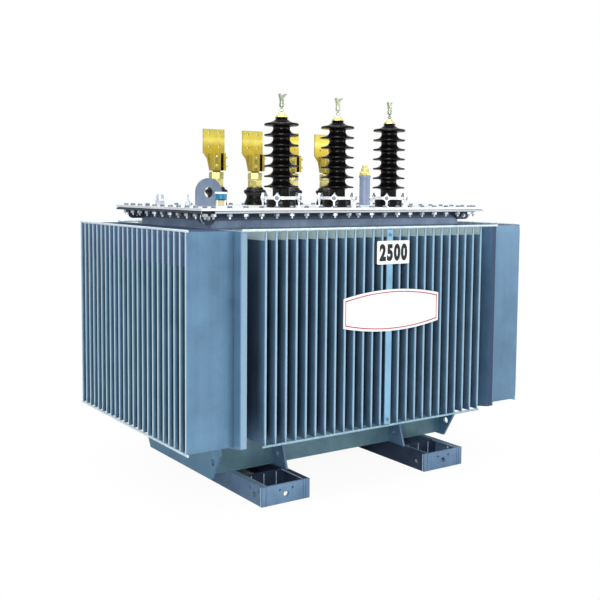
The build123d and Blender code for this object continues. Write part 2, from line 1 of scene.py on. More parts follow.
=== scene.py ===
# %% [markdown]
# # A power transformer, dressed
# The solids of the transformer come in as a fixed frame. This lesson gives them their finish and
# adds what is too small or too regular to model by hand: folded fins with round noses, cover
# bolts, porcelain, clamps, weld seams and plates.

# %% Load the frame
import math

import bmesh
import bpy
from mathutils import Matrix, Vector


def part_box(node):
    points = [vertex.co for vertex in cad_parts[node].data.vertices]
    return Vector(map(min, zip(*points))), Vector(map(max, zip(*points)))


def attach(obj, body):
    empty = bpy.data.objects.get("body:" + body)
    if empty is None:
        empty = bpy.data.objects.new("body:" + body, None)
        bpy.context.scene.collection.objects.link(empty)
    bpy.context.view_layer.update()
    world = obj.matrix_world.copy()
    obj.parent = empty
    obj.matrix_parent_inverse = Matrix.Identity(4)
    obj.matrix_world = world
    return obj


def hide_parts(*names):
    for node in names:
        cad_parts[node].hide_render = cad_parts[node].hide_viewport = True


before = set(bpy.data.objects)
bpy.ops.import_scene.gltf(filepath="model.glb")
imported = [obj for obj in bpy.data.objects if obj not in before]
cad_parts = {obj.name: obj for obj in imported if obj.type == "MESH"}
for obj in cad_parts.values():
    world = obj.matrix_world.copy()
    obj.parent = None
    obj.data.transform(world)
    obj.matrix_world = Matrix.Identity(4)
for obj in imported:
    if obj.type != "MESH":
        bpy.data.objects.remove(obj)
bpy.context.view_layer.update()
BODY = "root"
MM = 0.001

# %% [markdown]
# ## The camera
# The photo was taken from the front left, a little above the middle of the tank, with a long lens.
# The place and the three angles were solved from about thirty points of the real object. The lens is
# written as a focal length in pixels of the 600-pixel picture, and the picture was cropped a little
# above its middle, which the vertical shift repeats.

# %% Camera
PICTURE = 600
FOCAL_PIXELS = 915.5
CENTRE_ROW = 263.7
SENSOR = 36.0
CAMERA_PLACE = (-3.0249, -4.3990, 1.5694)
turn, tilt, roll = (math.radians(angle) for angle in (34.3065, -4.5795, 0.4618))
forward = Vector((math.sin(turn) * math.cos(tilt), math.cos(turn) * math.cos(tilt), math.sin(tilt)))
level_right = Vector((math.cos(turn), -math.sin(turn), 0.0))
level_up = level_right.cross(forward)
right = math.cos(roll) * level_right + math.sin(roll) * level_up
up = -math.sin(roll) * level_right + math.cos(roll) * level_up

scene = bpy.context.scene
camera_data = bpy.data.cameras.new("camera")
camera_data.sensor_width = SENSOR
camera_data.lens = FOCAL_PIXELS / PICTURE * SENSOR
camera_data.shift_y = (CENTRE_ROW - PICTURE / 2) / PICTURE
camera_data.clip_end = 200.0
camera = bpy.data.objects.new("camera", camera_data)
scene.collection.objects.link(camera)
axes = Matrix((right, up, -forward)).transposed()
camera.matrix_world = Matrix.Translation(CAMERA_PLACE) @ axes.to_4x4()
scene.camera = camera
print("lens", round(camera_data.lens, 2), "mm, shift", round(camera_data.shift_y, 4))

# %% [markdown]
# ## Nodes
# Shaders and geometry trees are both graphs of nodes. `add_node` makes one node and `feed` fills its
# inputs, each from the output of another node or with a plain value. `maths` is the short form for
# one Math node.

# %% Node helpers
def feed(tree, node, feeds):
    """Fills a node's inputs, each from a socket or with a constant."""
    for key, value in feeds.items():
        if isinstance(value, bpy.types.NodeSocket):
            tree.links.new(value, node.inputs[key])
        else:
            node.inputs[key].default_value = value
    return node


def add_node(tree, kind, feeds=None, **values):
    """Adds one node, sets its plain properties and then fills its inputs."""
    node = tree.nodes.new(kind)
    for key, value in values.items():
        setattr(node, key, value)
    return feed(tree, node, feeds or {})


def maths(tree, operation, *values):
    """The result of one Math node, fed with sockets and numbers."""
    return add_node(tree, "ShaderNodeMath", dict(enumerate(values)), operation=operation).outputs[0]


def object_place(tree):
    return add_node(tree, "ShaderNodeTexCoord").outputs["Object"]


# %% [markdown]
# ## Floor, world and lamps
# The object stands on plain white paper. The floor is white because of its own colour as the camera
# sees it, more so further out, and near the object it still takes the soft shadow under the tank.
# The world is an even pale grey to every other ray. One large soft lamp hangs above, one stands at
# the front left, and a weaker one fills the right.

# %% Stage
scene.view_settings.view_transform = "Standard"
WHITE = (1.0, 1.0, 1.0, 1.0)
AMBIENT = 0.62
world = bpy.data.worlds.new("studio")
scene.world = world
world.use_nodes = True
sky = world.node_tree
light = feed(sky, sky.nodes["Background"], {"Color": (0.93, 0.97, 1.0, 1.0), "Strength": AMBIENT})
seen = add_node(sky, "ShaderNodeBackground", {"Color": WHITE, "Strength": 1.0})
seen_share = add_node(sky, "ShaderNodeLightPath").outputs["Is Camera Ray"]
mixed = add_node(sky, "ShaderNodeMixShader", {0: seen_share, 1: light.outputs[0], 2: seen.outputs[0]})
feed(sky, sky.nodes["World Output"], {"Surface": mixed.outputs[0]})

FLOOR_REACH = 30.0
floor_mesh = bpy.data.meshes.new("studio_floor")
corners = [(x * FLOOR_REACH, y * FLOOR_REACH, 0.0) for x, y in ((-1, -1), (1, -1), (1, 1), (-1, 1))]
floor_mesh.from_pydata(corners, [], [(0, 1, 2, 3)])
floor = bpy.data.objects.new("studio_floor", floor_mesh)
scene.collection.objects.link(floor)

floor_paint = bpy.data.materials.new("floor_paper")
floor_paint.use_nodes = True
floor_mesh.materials.append(floor_paint)
paper = floor_paint.node_tree
place = object_place(paper)
reach = add_node(paper, "ShaderNodeVectorMath", {0: place}, operation="LENGTH").outputs["Value"]
fade_range = {"From Min": 0.4, "From Max": 1.5, "To Min": 0.94, "To Max": 1.0}
fade = add_node(paper, "ShaderNodeMapRange", {"Value": reach, **fade_range}).outputs["Result"]
# Between the two channels of each skid the floor lies in deep shadow, so it keeps its own shade there
SKID_MIDDLE, POCKET_HALF = 0.535, 0.137
LEFT_REACH, RIGHT_REACH = 0.50, 0.63
split = add_node(paper, "ShaderNodeSeparateXYZ", {0: place}).outputs
aside = maths(paper, "ABSOLUTE", split["X"])
between_channels = maths(paper, "COMPARE", aside, SKID_MIDDLE, POCKET_HALF)
half_gap, half_sum = (RIGHT_REACH - LEFT_REACH) / 2, (RIGHT_REACH + LEFT_REACH) / 2
skid_reach = maths(paper, "MULTIPLY_ADD", maths(paper, "SIGN", split["X"]), half_gap, half_sum)
under_skid = maths(paper, "COMPARE", split["Y"], 0.0, skid_reach)
clear = maths(paper, "SUBTRACT", 1.0, maths(paper, "MULTIPLY", between_channels, under_skid))
seen_share = add_node(paper, "ShaderNodeLightPath").outputs["Is Camera Ray"]
glow_share = maths(paper, "MULTIPLY", seen_share, maths(paper, "MULTIPLY", fade, clear))
matt = add_node(paper, "ShaderNodeBsdfDiffuse", {"Color": (0.80, 0.80, 0.80, 1.0)})
glow = add_node(paper, "ShaderNodeEmission", {"Color": WHITE})
mixed = add_node(paper, "ShaderNodeMixShader", {0: glow_share, 1: matt.outputs[0], 2: glow.outputs[0]})
feed(paper, paper.nodes["Material Output"], {"Surface": mixed.outputs[0]})


def soft_lamp(name, place, target, width, height, watts):
    """A rectangular area lamp that points at a target."""
    data = bpy.data.lights.new(name, "AREA")
    data.shape = "RECTANGLE"
    data.size = width
    data.size_y = height
    data.energy = watts
    lamp = bpy.data.objects.new(name, data)
    scene.collection.objects.link(lamp)
    lamp.location = place
    lamp.rotation_euler = (Vector(target) - Vector(place)).to_track_quat("-Z", "Y").to_euler()


TANK_MIDDLE = (0.0, 0.0, 0.9)
soft_lamp("lamp_above", (-0.5, -0.8, 5.2), TANK_MIDDLE, 4.5, 3.5, 230.0)
soft_lamp("lamp_front_left", (-4.2, -5.6, 3.0), TANK_MIDDLE, 3.0, 2.5, 230.0)
soft_lamp("lamp_right", (5.0, -4.0, 2.2), TANK_MIDDLE, 2.5, 2.5, 60.0)

# %% [markdown]
# ## Finishes
# Every finish is a small node tree on Object coordinates, so that it stays put when the camera
# moves. `noise_of` gives a cloudy pattern, `between` turns it into a colour or a roughness, and
# `add_bump` presses it into the surface. The sheet metal is hot-dip galvanised: dull blue-grey
# zinc with soft clouds and faint vertical run marks. A brighter line on folds and cut edges is a
# painted highlight, and the darker gaps between the fins and the bands by height are painted shade and
# light.

# %% Finish helpers
BAND_SHARE = 0.85
finishes = {}


def srgb(steps):
    """A colour given as 0 to 255 steps, turned into linear light."""
    shares = [value / 255.0 for value in steps]
    return tuple(v / 12.92 if v <= 0.04045 else ((v + 0.055) / 1.055) ** 2.4 for v in shares)


def new_finish(name, metallic=0.0, roughness=0.5, coat=0.0):
    """Lists a new material, and gives its node tree and its Principled shader."""
    finish = bpy.data.materials.new(name)
    finish.use_nodes = True
    finishes[name] = finish
    tree = finish.node_tree
    plain = {"Metallic": metallic, "Roughness": roughness, "Coat Weight": coat}
    return tree, feed(tree, tree.nodes["Principled BSDF"], plain)


def noise_of(tree, scale, stretch=(1.0, 1.0, 1.0), detail=4.0, rough=0.55):
    """Cloudy noise in Object coordinates, as a value from 0 to 1."""
    mapping = add_node(tree, "ShaderNodeMapping", {"Vector": object_place(tree), "Scale": stretch})
    look = {"Vector": mapping.outputs["Vector"], "Scale": scale, "Detail": detail, "Roughness": rough}
    return add_node(tree, "ShaderNodeTexNoise", look).outputs["Fac"]


def ramp_of(tree, value, *stops):
    """Turns a value into a colour, or into a grey, by stops of (place, colour)."""
    ramp = add_node(tree, "ShaderNodeValToRGB", {"Fac": value})
    for place, colour in stops[1:-1]:
        ramp.color_ramp.elements.new(place)
    for element, (place, colour) in zip(ramp.color_ramp.elements, stops):
        element.position = place
        element.color = (*colour, 1.0) if isinstance(colour, tuple) else (colour, colour, colour, 1.0)
    return ramp.outputs["Color"]


def between(tree, value, low, high, start=0.3, end=0.7):
    """A ramp from one colour, or grey value, to another."""
    return ramp_of(tree, value, (start, low), (end, high))


def blend_colours(tree, share, first, second, how="MIX"):
    """Mixes two colours by a share; each of the three is a socket or a constant."""
    first, second = ((*c, 1.0) if isinstance(c, tuple) else c for c in (first, second))
    feeds = {0: share, 6: first, 7: second}
    return add_node(tree, "ShaderNodeMix", feeds, data_type="RGBA", blend_type=how).outputs[2]


def add_bump(tree, shader, height, depth, strength=0.5):
    """Presses a height value into the surface; depth is in metres."""
    feeds = {"Strength": strength, "Distance": depth, "Height": height}
    feed(tree, shader, {"Normal": add_node(tree, "ShaderNodeBump", feeds).outputs["Normal"]})


def part_of(tree, vector, axis):
    return add_node(tree, "ShaderNodeSeparateXYZ", {0: vector}).outputs[axis]


def facing(tree, axis, start, end):
    """1 where the surface faces along an axis, either way, and 0 elsewhere."""
    normal = add_node(tree, "ShaderNodeNewGeometry").outputs["True Normal"]
    return between(tree, maths(tree, "ABSOLUTE", part_of(tree, normal, axis)), 0.0, 1.0, start, end)


def height_share(tree, low, high, clamp=True):
    """0 at one height of the object and 1 at another."""
    feeds = {"Value": part_of(tree, object_place(tree), "Z"), "From Min": low, "From Max": high}
    return add_node(tree, "ShaderNodeMapRange", feeds, clamp=clamp).outputs["Result"]


def band_share(tree, low, high):
    """1 between two heights of the object and 0 outside them."""
    return maths(tree, "COMPARE", height_share(tree, low, high, False), 0.5, 0.5)


def attribute_of(tree, name):
    """A value painted on the mesh, from 0 to 1."""
    return add_node(tree, "ShaderNodeAttribute", attribute_name=name).outputs["Fac"]


def zinc_sheet(name, dark, light, edge=(), deep=None, bands=(), roughness=(0.34, 0.5)):
    """Galvanised sheet: clouds, run marks and fine spangle, then painted shade in gaps, painted bands of
    light and shade, and painted light and shade on folds and edges.
    """
    tree, shader = new_finish(name, metallic=0.3)
    clouds = noise_of(tree, 7.0, detail=6.0)
    runs = noise_of(tree, 26.0, stretch=(1.0, 1.0, 0.06), detail=3.0)
    spangle = noise_of(tree, 240.0, detail=2.0)
    skin = between(tree, clouds, srgb(dark), srgb(light), 0.28, 0.72)
    skin = blend_colours(tree, 0.35, skin, between(tree, runs, 0.72, 1.0, 0.35, 0.65), "MULTIPLY")
    skin = blend_colours(tree, 0.30, skin, between(tree, spangle, 0.78, 1.0, 0.4, 0.6), "MULTIPLY")
    # Painted shade that grows towards the bottom of the gaps between the fins
    if deep:
        skin = blend_colours(tree, attribute_of(tree, "deep"), skin, srgb(deep))
    # Painted light and shade in bands by height, on the flanks in the gaps where a fin has them
    for low, high, colour in bands:
        inside = attribute_of(tree, "inside") if deep else BAND_SHARE
        painted = maths(tree, "MULTIPLY", band_share(tree, low, high), inside)
        skin = blend_colours(tree, painted, skin, srgb(colour))
    # Painted light on round folds and on faces turned along one axis; a dark colour here paints shade
    # instead
    if edge:
        axis, colour = edge
        edge_light_and_shade = attribute_of(tree, "nose") if axis == "nose" else facing(tree, axis, 0.9, 0.99)
        skin = blend_colours(tree, edge_light_and_shade, skin, srgb(colour))
    feed(tree, shader, {"Base Color": skin, "Roughness": between(tree, clouds, *roughness)})
    add_bump(tree, shader, spangle, 0.0004, 0.25)


def brass_finish(name, dark, light, roughness=0.34):
    """Yellow passivated metal with faint mill lines and uneven tarnish."""
    tree, shader = new_finish(name, metallic=0.75)
    tarnish = noise_of(tree, 14.0, detail=5.0)
    mill = noise_of(tree, 60.0, stretch=(1.0, 1.0, 12.0), detail=2.0)
    base = between(tree, tarnish, srgb(dark), srgb(light))
    lined = blend_colours(tree, 0.2, base, between(tree, mill, 0.8, 1.0), "MULTIPLY")
    rough = between(tree, tarnish, roughness - 0.08, roughness + 0.08)
    feed(tree, shader, {"Base Color": lined, "Roughness": rough})
    add_bump(tree, shader, mill, 0.0002, 0.2)


def plated_finish(name, dark, light, metallic=0.7, roughness=0.3):
    """Bright zinc plate on small parts, clouded by handling."""
    tree, shader = new_finish(name, metallic=metallic)
    handled = noise_of(tree, 45.0, detail=3.0)
    rough = between(tree, handled, roughness - 0.06, roughness + 0.1)
    feed(tree, shader, {"Base Color": between(tree, handled, srgb(dark), srgb(light)), "Roughness": rough})
    add_bump(tree, shader, handled, 0.0002, 0.2)


def enamel_finish(name, colour, shade, roughness=0.28):
    """Smooth enamel or plastic with a barely uneven surface."""
    tree, shader = new_finish(name, roughness=roughness, coat=0.3)
    feed(tree, shader, {"Base Color": between(tree, noise_of(tree, 9.0), srgb(shade), srgb(colour))})
    add_bump(tree, shader, noise_of(tree, 120.0), 0.0002, 0.1)


# %% [markdown]
# The colours below are written as steps from 0 to 255, read off the real surfaces, and
# turned into the linear values that the shader wants.

# %% Sheet metal
FIN_FOOT = 335 * MM
FIN_TOP = 1375 * MM
FIN_PINCH = 45 * MM
SIDE_LIGHT_DEPTH = 165 * MM
# Painted shadow of the flange on the neck: a dark band under it and a softer one below
NECK_SHADOW_BANDS = ((1430 * MM, 1454 * MM, (40, 50, 70)), (1415 * MM, 1430 * MM, (70, 84, 108)))
WALL_ZINC = (92, 124, 152), (106, 142, 172)
# Front and back fins: painted highlight on the folds, painted shade in the gaps, painted light on the
# pinched tops, and a painted band at the pinched feet that lifts the shade of the gaps
zinc_sheet(
    "fin_zinc",
    *WALL_ZINC,
    edge=("nose", (150, 182, 202)),
    deep=(20, 26, 38),
    bands=(
        (FIN_TOP - FIN_PINCH, FIN_TOP, (176, 196, 196)),
        (FIN_FOOT, FIN_FOOT + FIN_PINCH, (72, 100, 128)),
    ),
)
# Left and right fins: painted highlight on the folds, painted shade in the gaps, and a painted band of
# light where light from above reaches into the gaps
zinc_sheet(
    "side_fin_zinc",
    (90, 124, 152),
    (104, 142, 172),
    edge=("nose", (182, 210, 218)),
    deep=(14, 24, 30),
    bands=((FIN_TOP - SIDE_LIGHT_DEPTH, FIN_TOP, (86, 102, 134)),),
)
# Headers: painted light on the pinched top band, and a painted highlight on the faces turned to the front
# and the back
header_band = (FIN_TOP - FIN_PINCH, FIN_TOP, (158, 180, 190))
zinc_sheet("header_zinc", *WALL_ZINC, edge=("Y", (134, 164, 184)), bands=(header_band,))
# The far header is a darker copy of the wall zinc as painted shade, with painted shade on its front and
# back faces
zinc_sheet("far_header_zinc", (84, 118, 150), (98, 136, 170), edge=("Y", (44, 64, 92)))
# The base end plates are a lighter copy of the wall zinc as painted light
zinc_sheet("end_zinc", (92, 138, 168), (108, 156, 186))
zinc_sheet("rail_zinc", (90, 126, 144), (124, 162, 172))
# A darker copy of the zinc: painted shade on the tank corner lugs and on the round lug facing, and the dark
# colour of the skid seams
zinc_sheet("dark_zinc", (52, 64, 86), (72, 88, 112))
# Painted light on the faces of the base turned up and down
zinc_sheet("base_zinc", (92, 122, 154), (122, 154, 186), edge=("Z", (132, 156, 180)))
# A darker copy of the zinc as painted shade on the pocket plates and inner channels of the skids
zinc_sheet("pocket_zinc", (40, 54, 78), (60, 76, 102))
zinc_sheet("tank_zinc", (106, 124, 152), (152, 172, 198), bands=NECK_SHADOW_BANDS)
# A darker copy of the zinc as painted shade on the flange, with painted light on its front and back faces
zinc_sheet("flange_zinc", (44, 54, 74), (66, 80, 104), edge=("Y", (190, 196, 203)))
zinc_sheet("lug_zinc", (104, 118, 142), (130, 146, 166))
zinc_sheet("pipe_zinc", (128, 142, 170), (152, 166, 192))
zinc_sheet("strip_zinc", (118, 168, 200), (142, 190, 218))
# Painted light on the front and back faces of the cover
cover_edge = ("Y", (250, 252, 254))
zinc_sheet("cover_zinc", (222, 226, 232), (244, 246, 248), edge=cover_edge, roughness=(0.3, 0.42))

# %% [markdown]
# The gasket is black cork rubber, a little dusty. The glaze of the porcelain is nearly black, with a
# clear glossy coat that pools a little.

# %% Rubber and porcelain
tree, shader = new_finish("gasket_rubber", roughness=0.85)
dust = noise_of(tree, 60.0)
feed(tree, shader, {"Base Color": between(tree, dust, (0.012, 0.012, 0.013), (0.04, 0.042, 0.045))})
add_bump(tree, shader, dust, 0.0006)

tree, shader = new_finish("porcelain_glaze", roughness=0.3, coat=0.25)
glaze = between(tree, noise_of(tree, 18.0), (0.002, 0.0018, 0.002), (0.007, 0.005, 0.0045))
feed(tree, shader, {"Specular IOR Level": 0.08, "Coat Roughness": 0.04, "Base Color": glaze})
add_bump(tree, shader, noise_of(tree, 90.0), 0.0005, 0.12)

# %% [markdown]
# The palms of the flags are yellow passivated, with a painted reflection of the pale studio in one
# soft band. The slot of each clamp gets painted shade. One folded ruler of the row's pitch finds all
# four slots.

# %% Brass palms
lv_low, lv_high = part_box("lv_stud_1")
LV_ROW = (lv_low.y + lv_high.y) / 2
LV_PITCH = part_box("lv_stud_2")[0].x - lv_low.x
SLOT_HALF = 9.5 * MM
PALM_FOOT, PALM_TOP = 1681 * MM, 1923 * MM
tree, shader = new_finish("flag_brass", metallic=0.45)
# Painted reflection of the pale studio: a soft light band across the palms by height
mirrored = ramp_of(
    tree,
    height_share(tree, PALM_FOOT, PALM_TOP),
    (0.0, srgb((172, 150, 52))),
    (0.40, srgb((188, 166, 58))),
    (0.60, srgb((208, 180, 52))),
    (0.74, srgb((244, 228, 116))),
    (0.82, srgb((222, 202, 76))),
    (1.0, srgb((198, 184, 84))),
)
tarnish = noise_of(tree, 24.0, detail=5.0)
skin = blend_colours(tree, 0.5, mirrored, between(tree, tarnish, 0.78, 1.0), "MULTIPLY")
place = object_place(tree)
# Painted shade in the slot of each clamp, on the faces in front of the row of studs
shifted = maths(tree, "ADD", part_of(tree, place, "X"), LV_PITCH / 2)
within = maths(tree, "LESS_THAN", maths(tree, "PINGPONG", shifted, LV_PITCH / 2), SLOT_HALF)
ahead = maths(tree, "LESS_THAN", part_of(tree, place, "Y"), LV_ROW - 30 * MM)
skin = blend_colours(tree, maths(tree, "MULTIPLY", within, ahead), skin, srgb((34, 24, 14)))
feed(tree, shader, {"Base Color": skin, "Roughness": between(tree, tarnish, 0.26, 0.42)})
add_bump(tree, shader, noise_of(tree, 160.0), 0.0002, 0.15)

# %% Small parts
brass_finish("nut_brass", (184, 172, 98), (220, 212, 146), 0.4)
brass_finish("cap_brass", (214, 202, 108), (244, 236, 160), 0.4)
brass_finish("terminal_alloy", (150, 166, 140), (206, 214, 190), 0.3)
plated_finish("dull_bolt", (96, 104, 116), (140, 148, 158), 0.5, 0.4)
plated_finish("weld_zinc", (158, 174, 188), (206, 218, 226), 0.3, 0.45)
plated_finish("bright_zinc", (206, 212, 220), (240, 243, 246))
plated_finish("rod_zinc", (186, 204, 214), (220, 232, 238), 0.3, 0.4)
# foot_rod_zinc is a darker copy of the rod zinc, as painted shade on the lower rods of the front and back
# walls
plated_finish("foot_rod_zinc", (124, 158, 178), (160, 190, 204), 0.3, 0.4)
plated_finish("ring_zinc", (214, 220, 228), (246, 248, 250), 0.35, 0.34)
enamel_finish("gauge_blue", (4, 122, 160), (2, 92, 134))
enamel_finish("gauge_amber", (212, 198, 148), (178, 176, 134), 0.2)
enamel_finish("gauge_white", (244, 246, 248), (232, 236, 240))
enamel_finish("dark_seal", (40, 36, 34), (24, 22, 22), 0.5)
enamel_finish("plate_white", (238, 240, 241), (230, 233, 236))
enamel_finish("plate_red", (190, 30, 44), (172, 24, 38), 0.5)
enamel_finish("figure_black", (12, 12, 13), (6, 6, 7), 0.7)
print("finishes", len(finishes))

# %% [markdown]
# ## Carried-over solids
# Where the solid already has the right shape it stays, and only its material slot changes. A node
# takes the finish of the last line that fits its name.

# %% Finishes on the solids
# Several finishes below are lighter or darker copies of the zinc that carry painted light and shade:
# pocket, dark, far header, end plate and flange
solid_finishes = {
    "skid_": "base_zinc",
    "skid_left_pocket_": "pocket_zinc",
    "skid_right_pocket_": "pocket_zinc",
    "skid_left_inner_": "pocket_zinc",
    "skid_right_inner_": "pocket_zinc",
    "base_": "base_zinc",
    "base_end_plate_": "end_zinc",
    "base_rail_": "rail_zinc",
    "end_header_": "header_zinc",
    "end_header_right": "far_header_zinc",
    "tank_": "tank_zinc",
    "tank_flange": "flange_zinc",
    "tank_corner_lugs": "dark_zinc",
    "cover_gasket": "gasket_rubber",
    "cover_plate": "cover_zinc",
    "cover_lifting_lug": "lug_zinc",
    "hv_clamp_ring_": "ring_zinc",
    "hv_terminal_": "terminal_alloy",
    "hv_porcelain_": "porcelain_glaze",
    "lv_porcelain_": "porcelain_glaze",
    "lv_stud_": "nut_brass",
    "lv_flag_": "flag_brass",
    "filler_pipe": "pipe_zinc",
    "filler_cap": "cap_brass",
    "thermometer_pocket": "bright_zinc",
    "vent_valve": "bright_zinc",
    "oil_gauge": "gauge_blue",
    "plate_strip": "strip_zinc",
    "number_plate": "plate_white",
    "name_plate": "plate_white",
    "corrugated_wall_": "fin_zinc",
}
for node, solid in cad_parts.items():
    for start, finish in solid_finishes.items():
        if node.startswith(start):
            solid.data.materials.clear()
            solid.data.materials.append(finishes[finish])
print("dressed solids", len(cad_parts))

# %% [markdown]
# ## Geometry Nodes helpers
# What repeats is placed by Geometry Nodes. Each tree has named inputs for its sizes. `run_tree`
# sets them by identifier, evaluates the tree once, and keeps the result as a plain mesh.

# %% Tree helpers
def new_tree(name, inputs):
    """A geometry tree with named inputs, given as name: (socket type, default), and their sockets."""
    tree = bpy.data.node_groups.new(name, "GeometryNodeTree")
    add_socket = tree.interface.new_socket
    add_socket("Geometry", in_out="INPUT", socket_type="NodeSocketGeometry")
    for label, (kind, default) in inputs.items():
        socket = add_socket(label, in_out="INPUT", socket_type="NodeSocket" + kind)
        if default is not None:
            socket.default_value = default
    add_socket("Geometry", in_out="OUTPUT", socket_type="NodeSocketGeometry")
    return tree, tree.nodes.new("NodeGroupInput").outputs


def finish_tree(tree, geometry, finish):
    """Ends a tree in Realize Instances and Set Material."""
    realize = add_node(tree, "GeometryNodeRealizeInstances", {"Geometry": geometry})
    feeds = {"Geometry": realize.outputs["Geometry"], "Material": finish}
    paint = add_node(tree, "GeometryNodeSetMaterial", feeds)
    add_node(tree, "NodeGroupOutput", {"Geometry": paint.outputs["Geometry"]})
    return tree


def mesh_object(name, mesh):
    """Links a mesh into the scene at the origin."""
    thing = bpy.data.objects.new(name, mesh)
    scene.collection.objects.link(thing)
    return thing


def run_tree(tree, carrier, values):
    """Runs a tree on a carrier object and returns its result as a plain mesh."""
    modifier = carrier.modifiers.new("tree", "NODES")
    modifier.node_group = tree
    for item in tree.interface.items_tree:
        if item.in_out == "INPUT" and item.name in values:
            modifier[item.identifier] = values[item.name]
    bpy.context.view_layer.update()
    evaluated = carrier.evaluated_get(bpy.context.evaluated_depsgraph_get())
    mesh = bpy.data.meshes.new_from_object(evaluated)
    carrier.modifiers.remove(modifier)
    return mesh


def keep_piece(name, mesh, replaced=(), smooth_angle=35.0):
    """Turns a finished mesh into a piece of the object."""
    if smooth_angle:
        mesh.shade_smooth()
        mesh.set_sharp_from_angle(angle=math.radians(smooth_angle))
    piece = mesh_object(name, mesh)
    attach(piece, BODY)
    if replaced:
        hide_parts(*replaced)
    print(name, sum(len(face.vertices) - 2 for face in mesh.polygons), "triangles")


# %% [markdown]
# ## Corrugated walls
# A corrugated wall is one long sheet, folded back and forth into deep hollow pockets. The fold at
# the front of each pocket is round, and the two sheets are pressed together and welded at the top
# and the bottom. One such fin is made in code as a skin of rings, one ring for each height, and a
# tree sets a whole row of them along the wall. The value `nose` is 1 on the round fold, where a
# painted highlight lies. The value `deep` grows from the fold inwards and carries painted shade,
# because little light reaches the bottom of the narrow gaps. `inside` marks the flanks in the gaps,
# where the bands of painted light and shade lie. The outer sides of the end fins stand free and get
# less painted shade: on the front and the back `deep` is weakened, and on the left and the right the
# bands go as well.

# %% One folded fin
FIN_THICKNESS = 14 * MM
FIN_SEAM = 4 * MM
NOSE_STEPS = 8
ROOT_SHADE = 40 * MM
FOOT_SHADE = 170 * MM
NOSE_START, NOSE_FADE = 4 * MM, 2 * MM
LAST_STEP, SEAM_EASE, FLANK_MARGIN = 8 * MM, 0.6 * MM, 0.5 * MM
BAND_WEIGHT = 0.9


def clamped(value):
    return min(1.0, max(0.0, value))


def fin_ring(thickness, depth, dark_depth):
    """Half-round nose and two flat flanks of a fin, as points seen from above."""
    radius = thickness / 2
    flank = depth - radius
    steps = (0.0, ROOT_SHADE, flank * 0.5, flank - dark_depth, flank - dark_depth / 2, flank - LAST_STEP)
    ring = [(-radius, y) for y in steps]
    for step in range(NOSE_STEPS + 1):
        angle = math.pi * (1 - step / NOSE_STEPS)
        ring.append((radius * math.cos(angle), flank + radius * math.sin(angle)))
    return ring + [(radius, y) for y in reversed(steps)]


def fin_skin(name, depth, height, dark_depth):
    """The skin of one fin, pinched at its top and bottom."""
    half_open = (FIN_SEAM + FIN_THICKNESS) / 2 + SEAM_EASE
    levels = [(0.0, FIN_SEAM), (FIN_PINCH * 0.5, half_open)]
    levels += [(z, FIN_THICKNESS) for z in (FIN_PINCH, FOOT_SHADE, height - FIN_PINCH)]
    levels += [(height - FIN_PINCH * 0.5, half_open), (height, FIN_SEAM)]
    shell = bmesh.new()
    nose, deep, inside = (shell.verts.layers.float.new(label) for label in ("nose", "deep", "inside"))
    tip = depth - FIN_THICKNESS / 2
    rings = []
    for z, thickness in levels:
        rings.append([])
        band_fade = clamped(1.0 - z / FIN_PINCH) if z < FOOT_SHADE else 1.0
        for x, y in fin_ring(thickness, depth, dark_depth):
            vertex = shell.verts.new((x, y, z))
            # nose carries the painted highlight of the fold, deep the painted shade of the gap, and inside
            # marks where the painted bands lie
            vertex[nose] = clamped((y - tip - NOSE_START) / NOSE_FADE)
            vertex[inside] = BAND_WEIGHT * band_fade if y < tip + FLANK_MARGIN else 0.0
            vertex[deep] = clamped((tip - y) / dark_depth)
            rings[-1].append(vertex)
    for low, high in zip(rings, rings[1:]):
        for a, b, c, d in zip(low, low[1:], high[1:], high):
            shell.faces.new((a, b, c, d))
    shell.faces.new(rings[0][::-1])
    shell.faces.new(rings[-1])
    bmesh.ops.recalc_face_normals(shell, faces=shell.faces)
    mesh = bpy.data.meshes.new(name)
    shell.to_mesh(mesh)
    shell.free()
    mesh.shade_smooth()
    mesh.set_sharp_from_angle(angle=math.radians(30))
    return mesh


# %% [markdown]
# The tree lays a line of points along the wall, puts a fin on each, adds the flat sheet that they
# stand on, and turns the whole wall to its side of the tank.

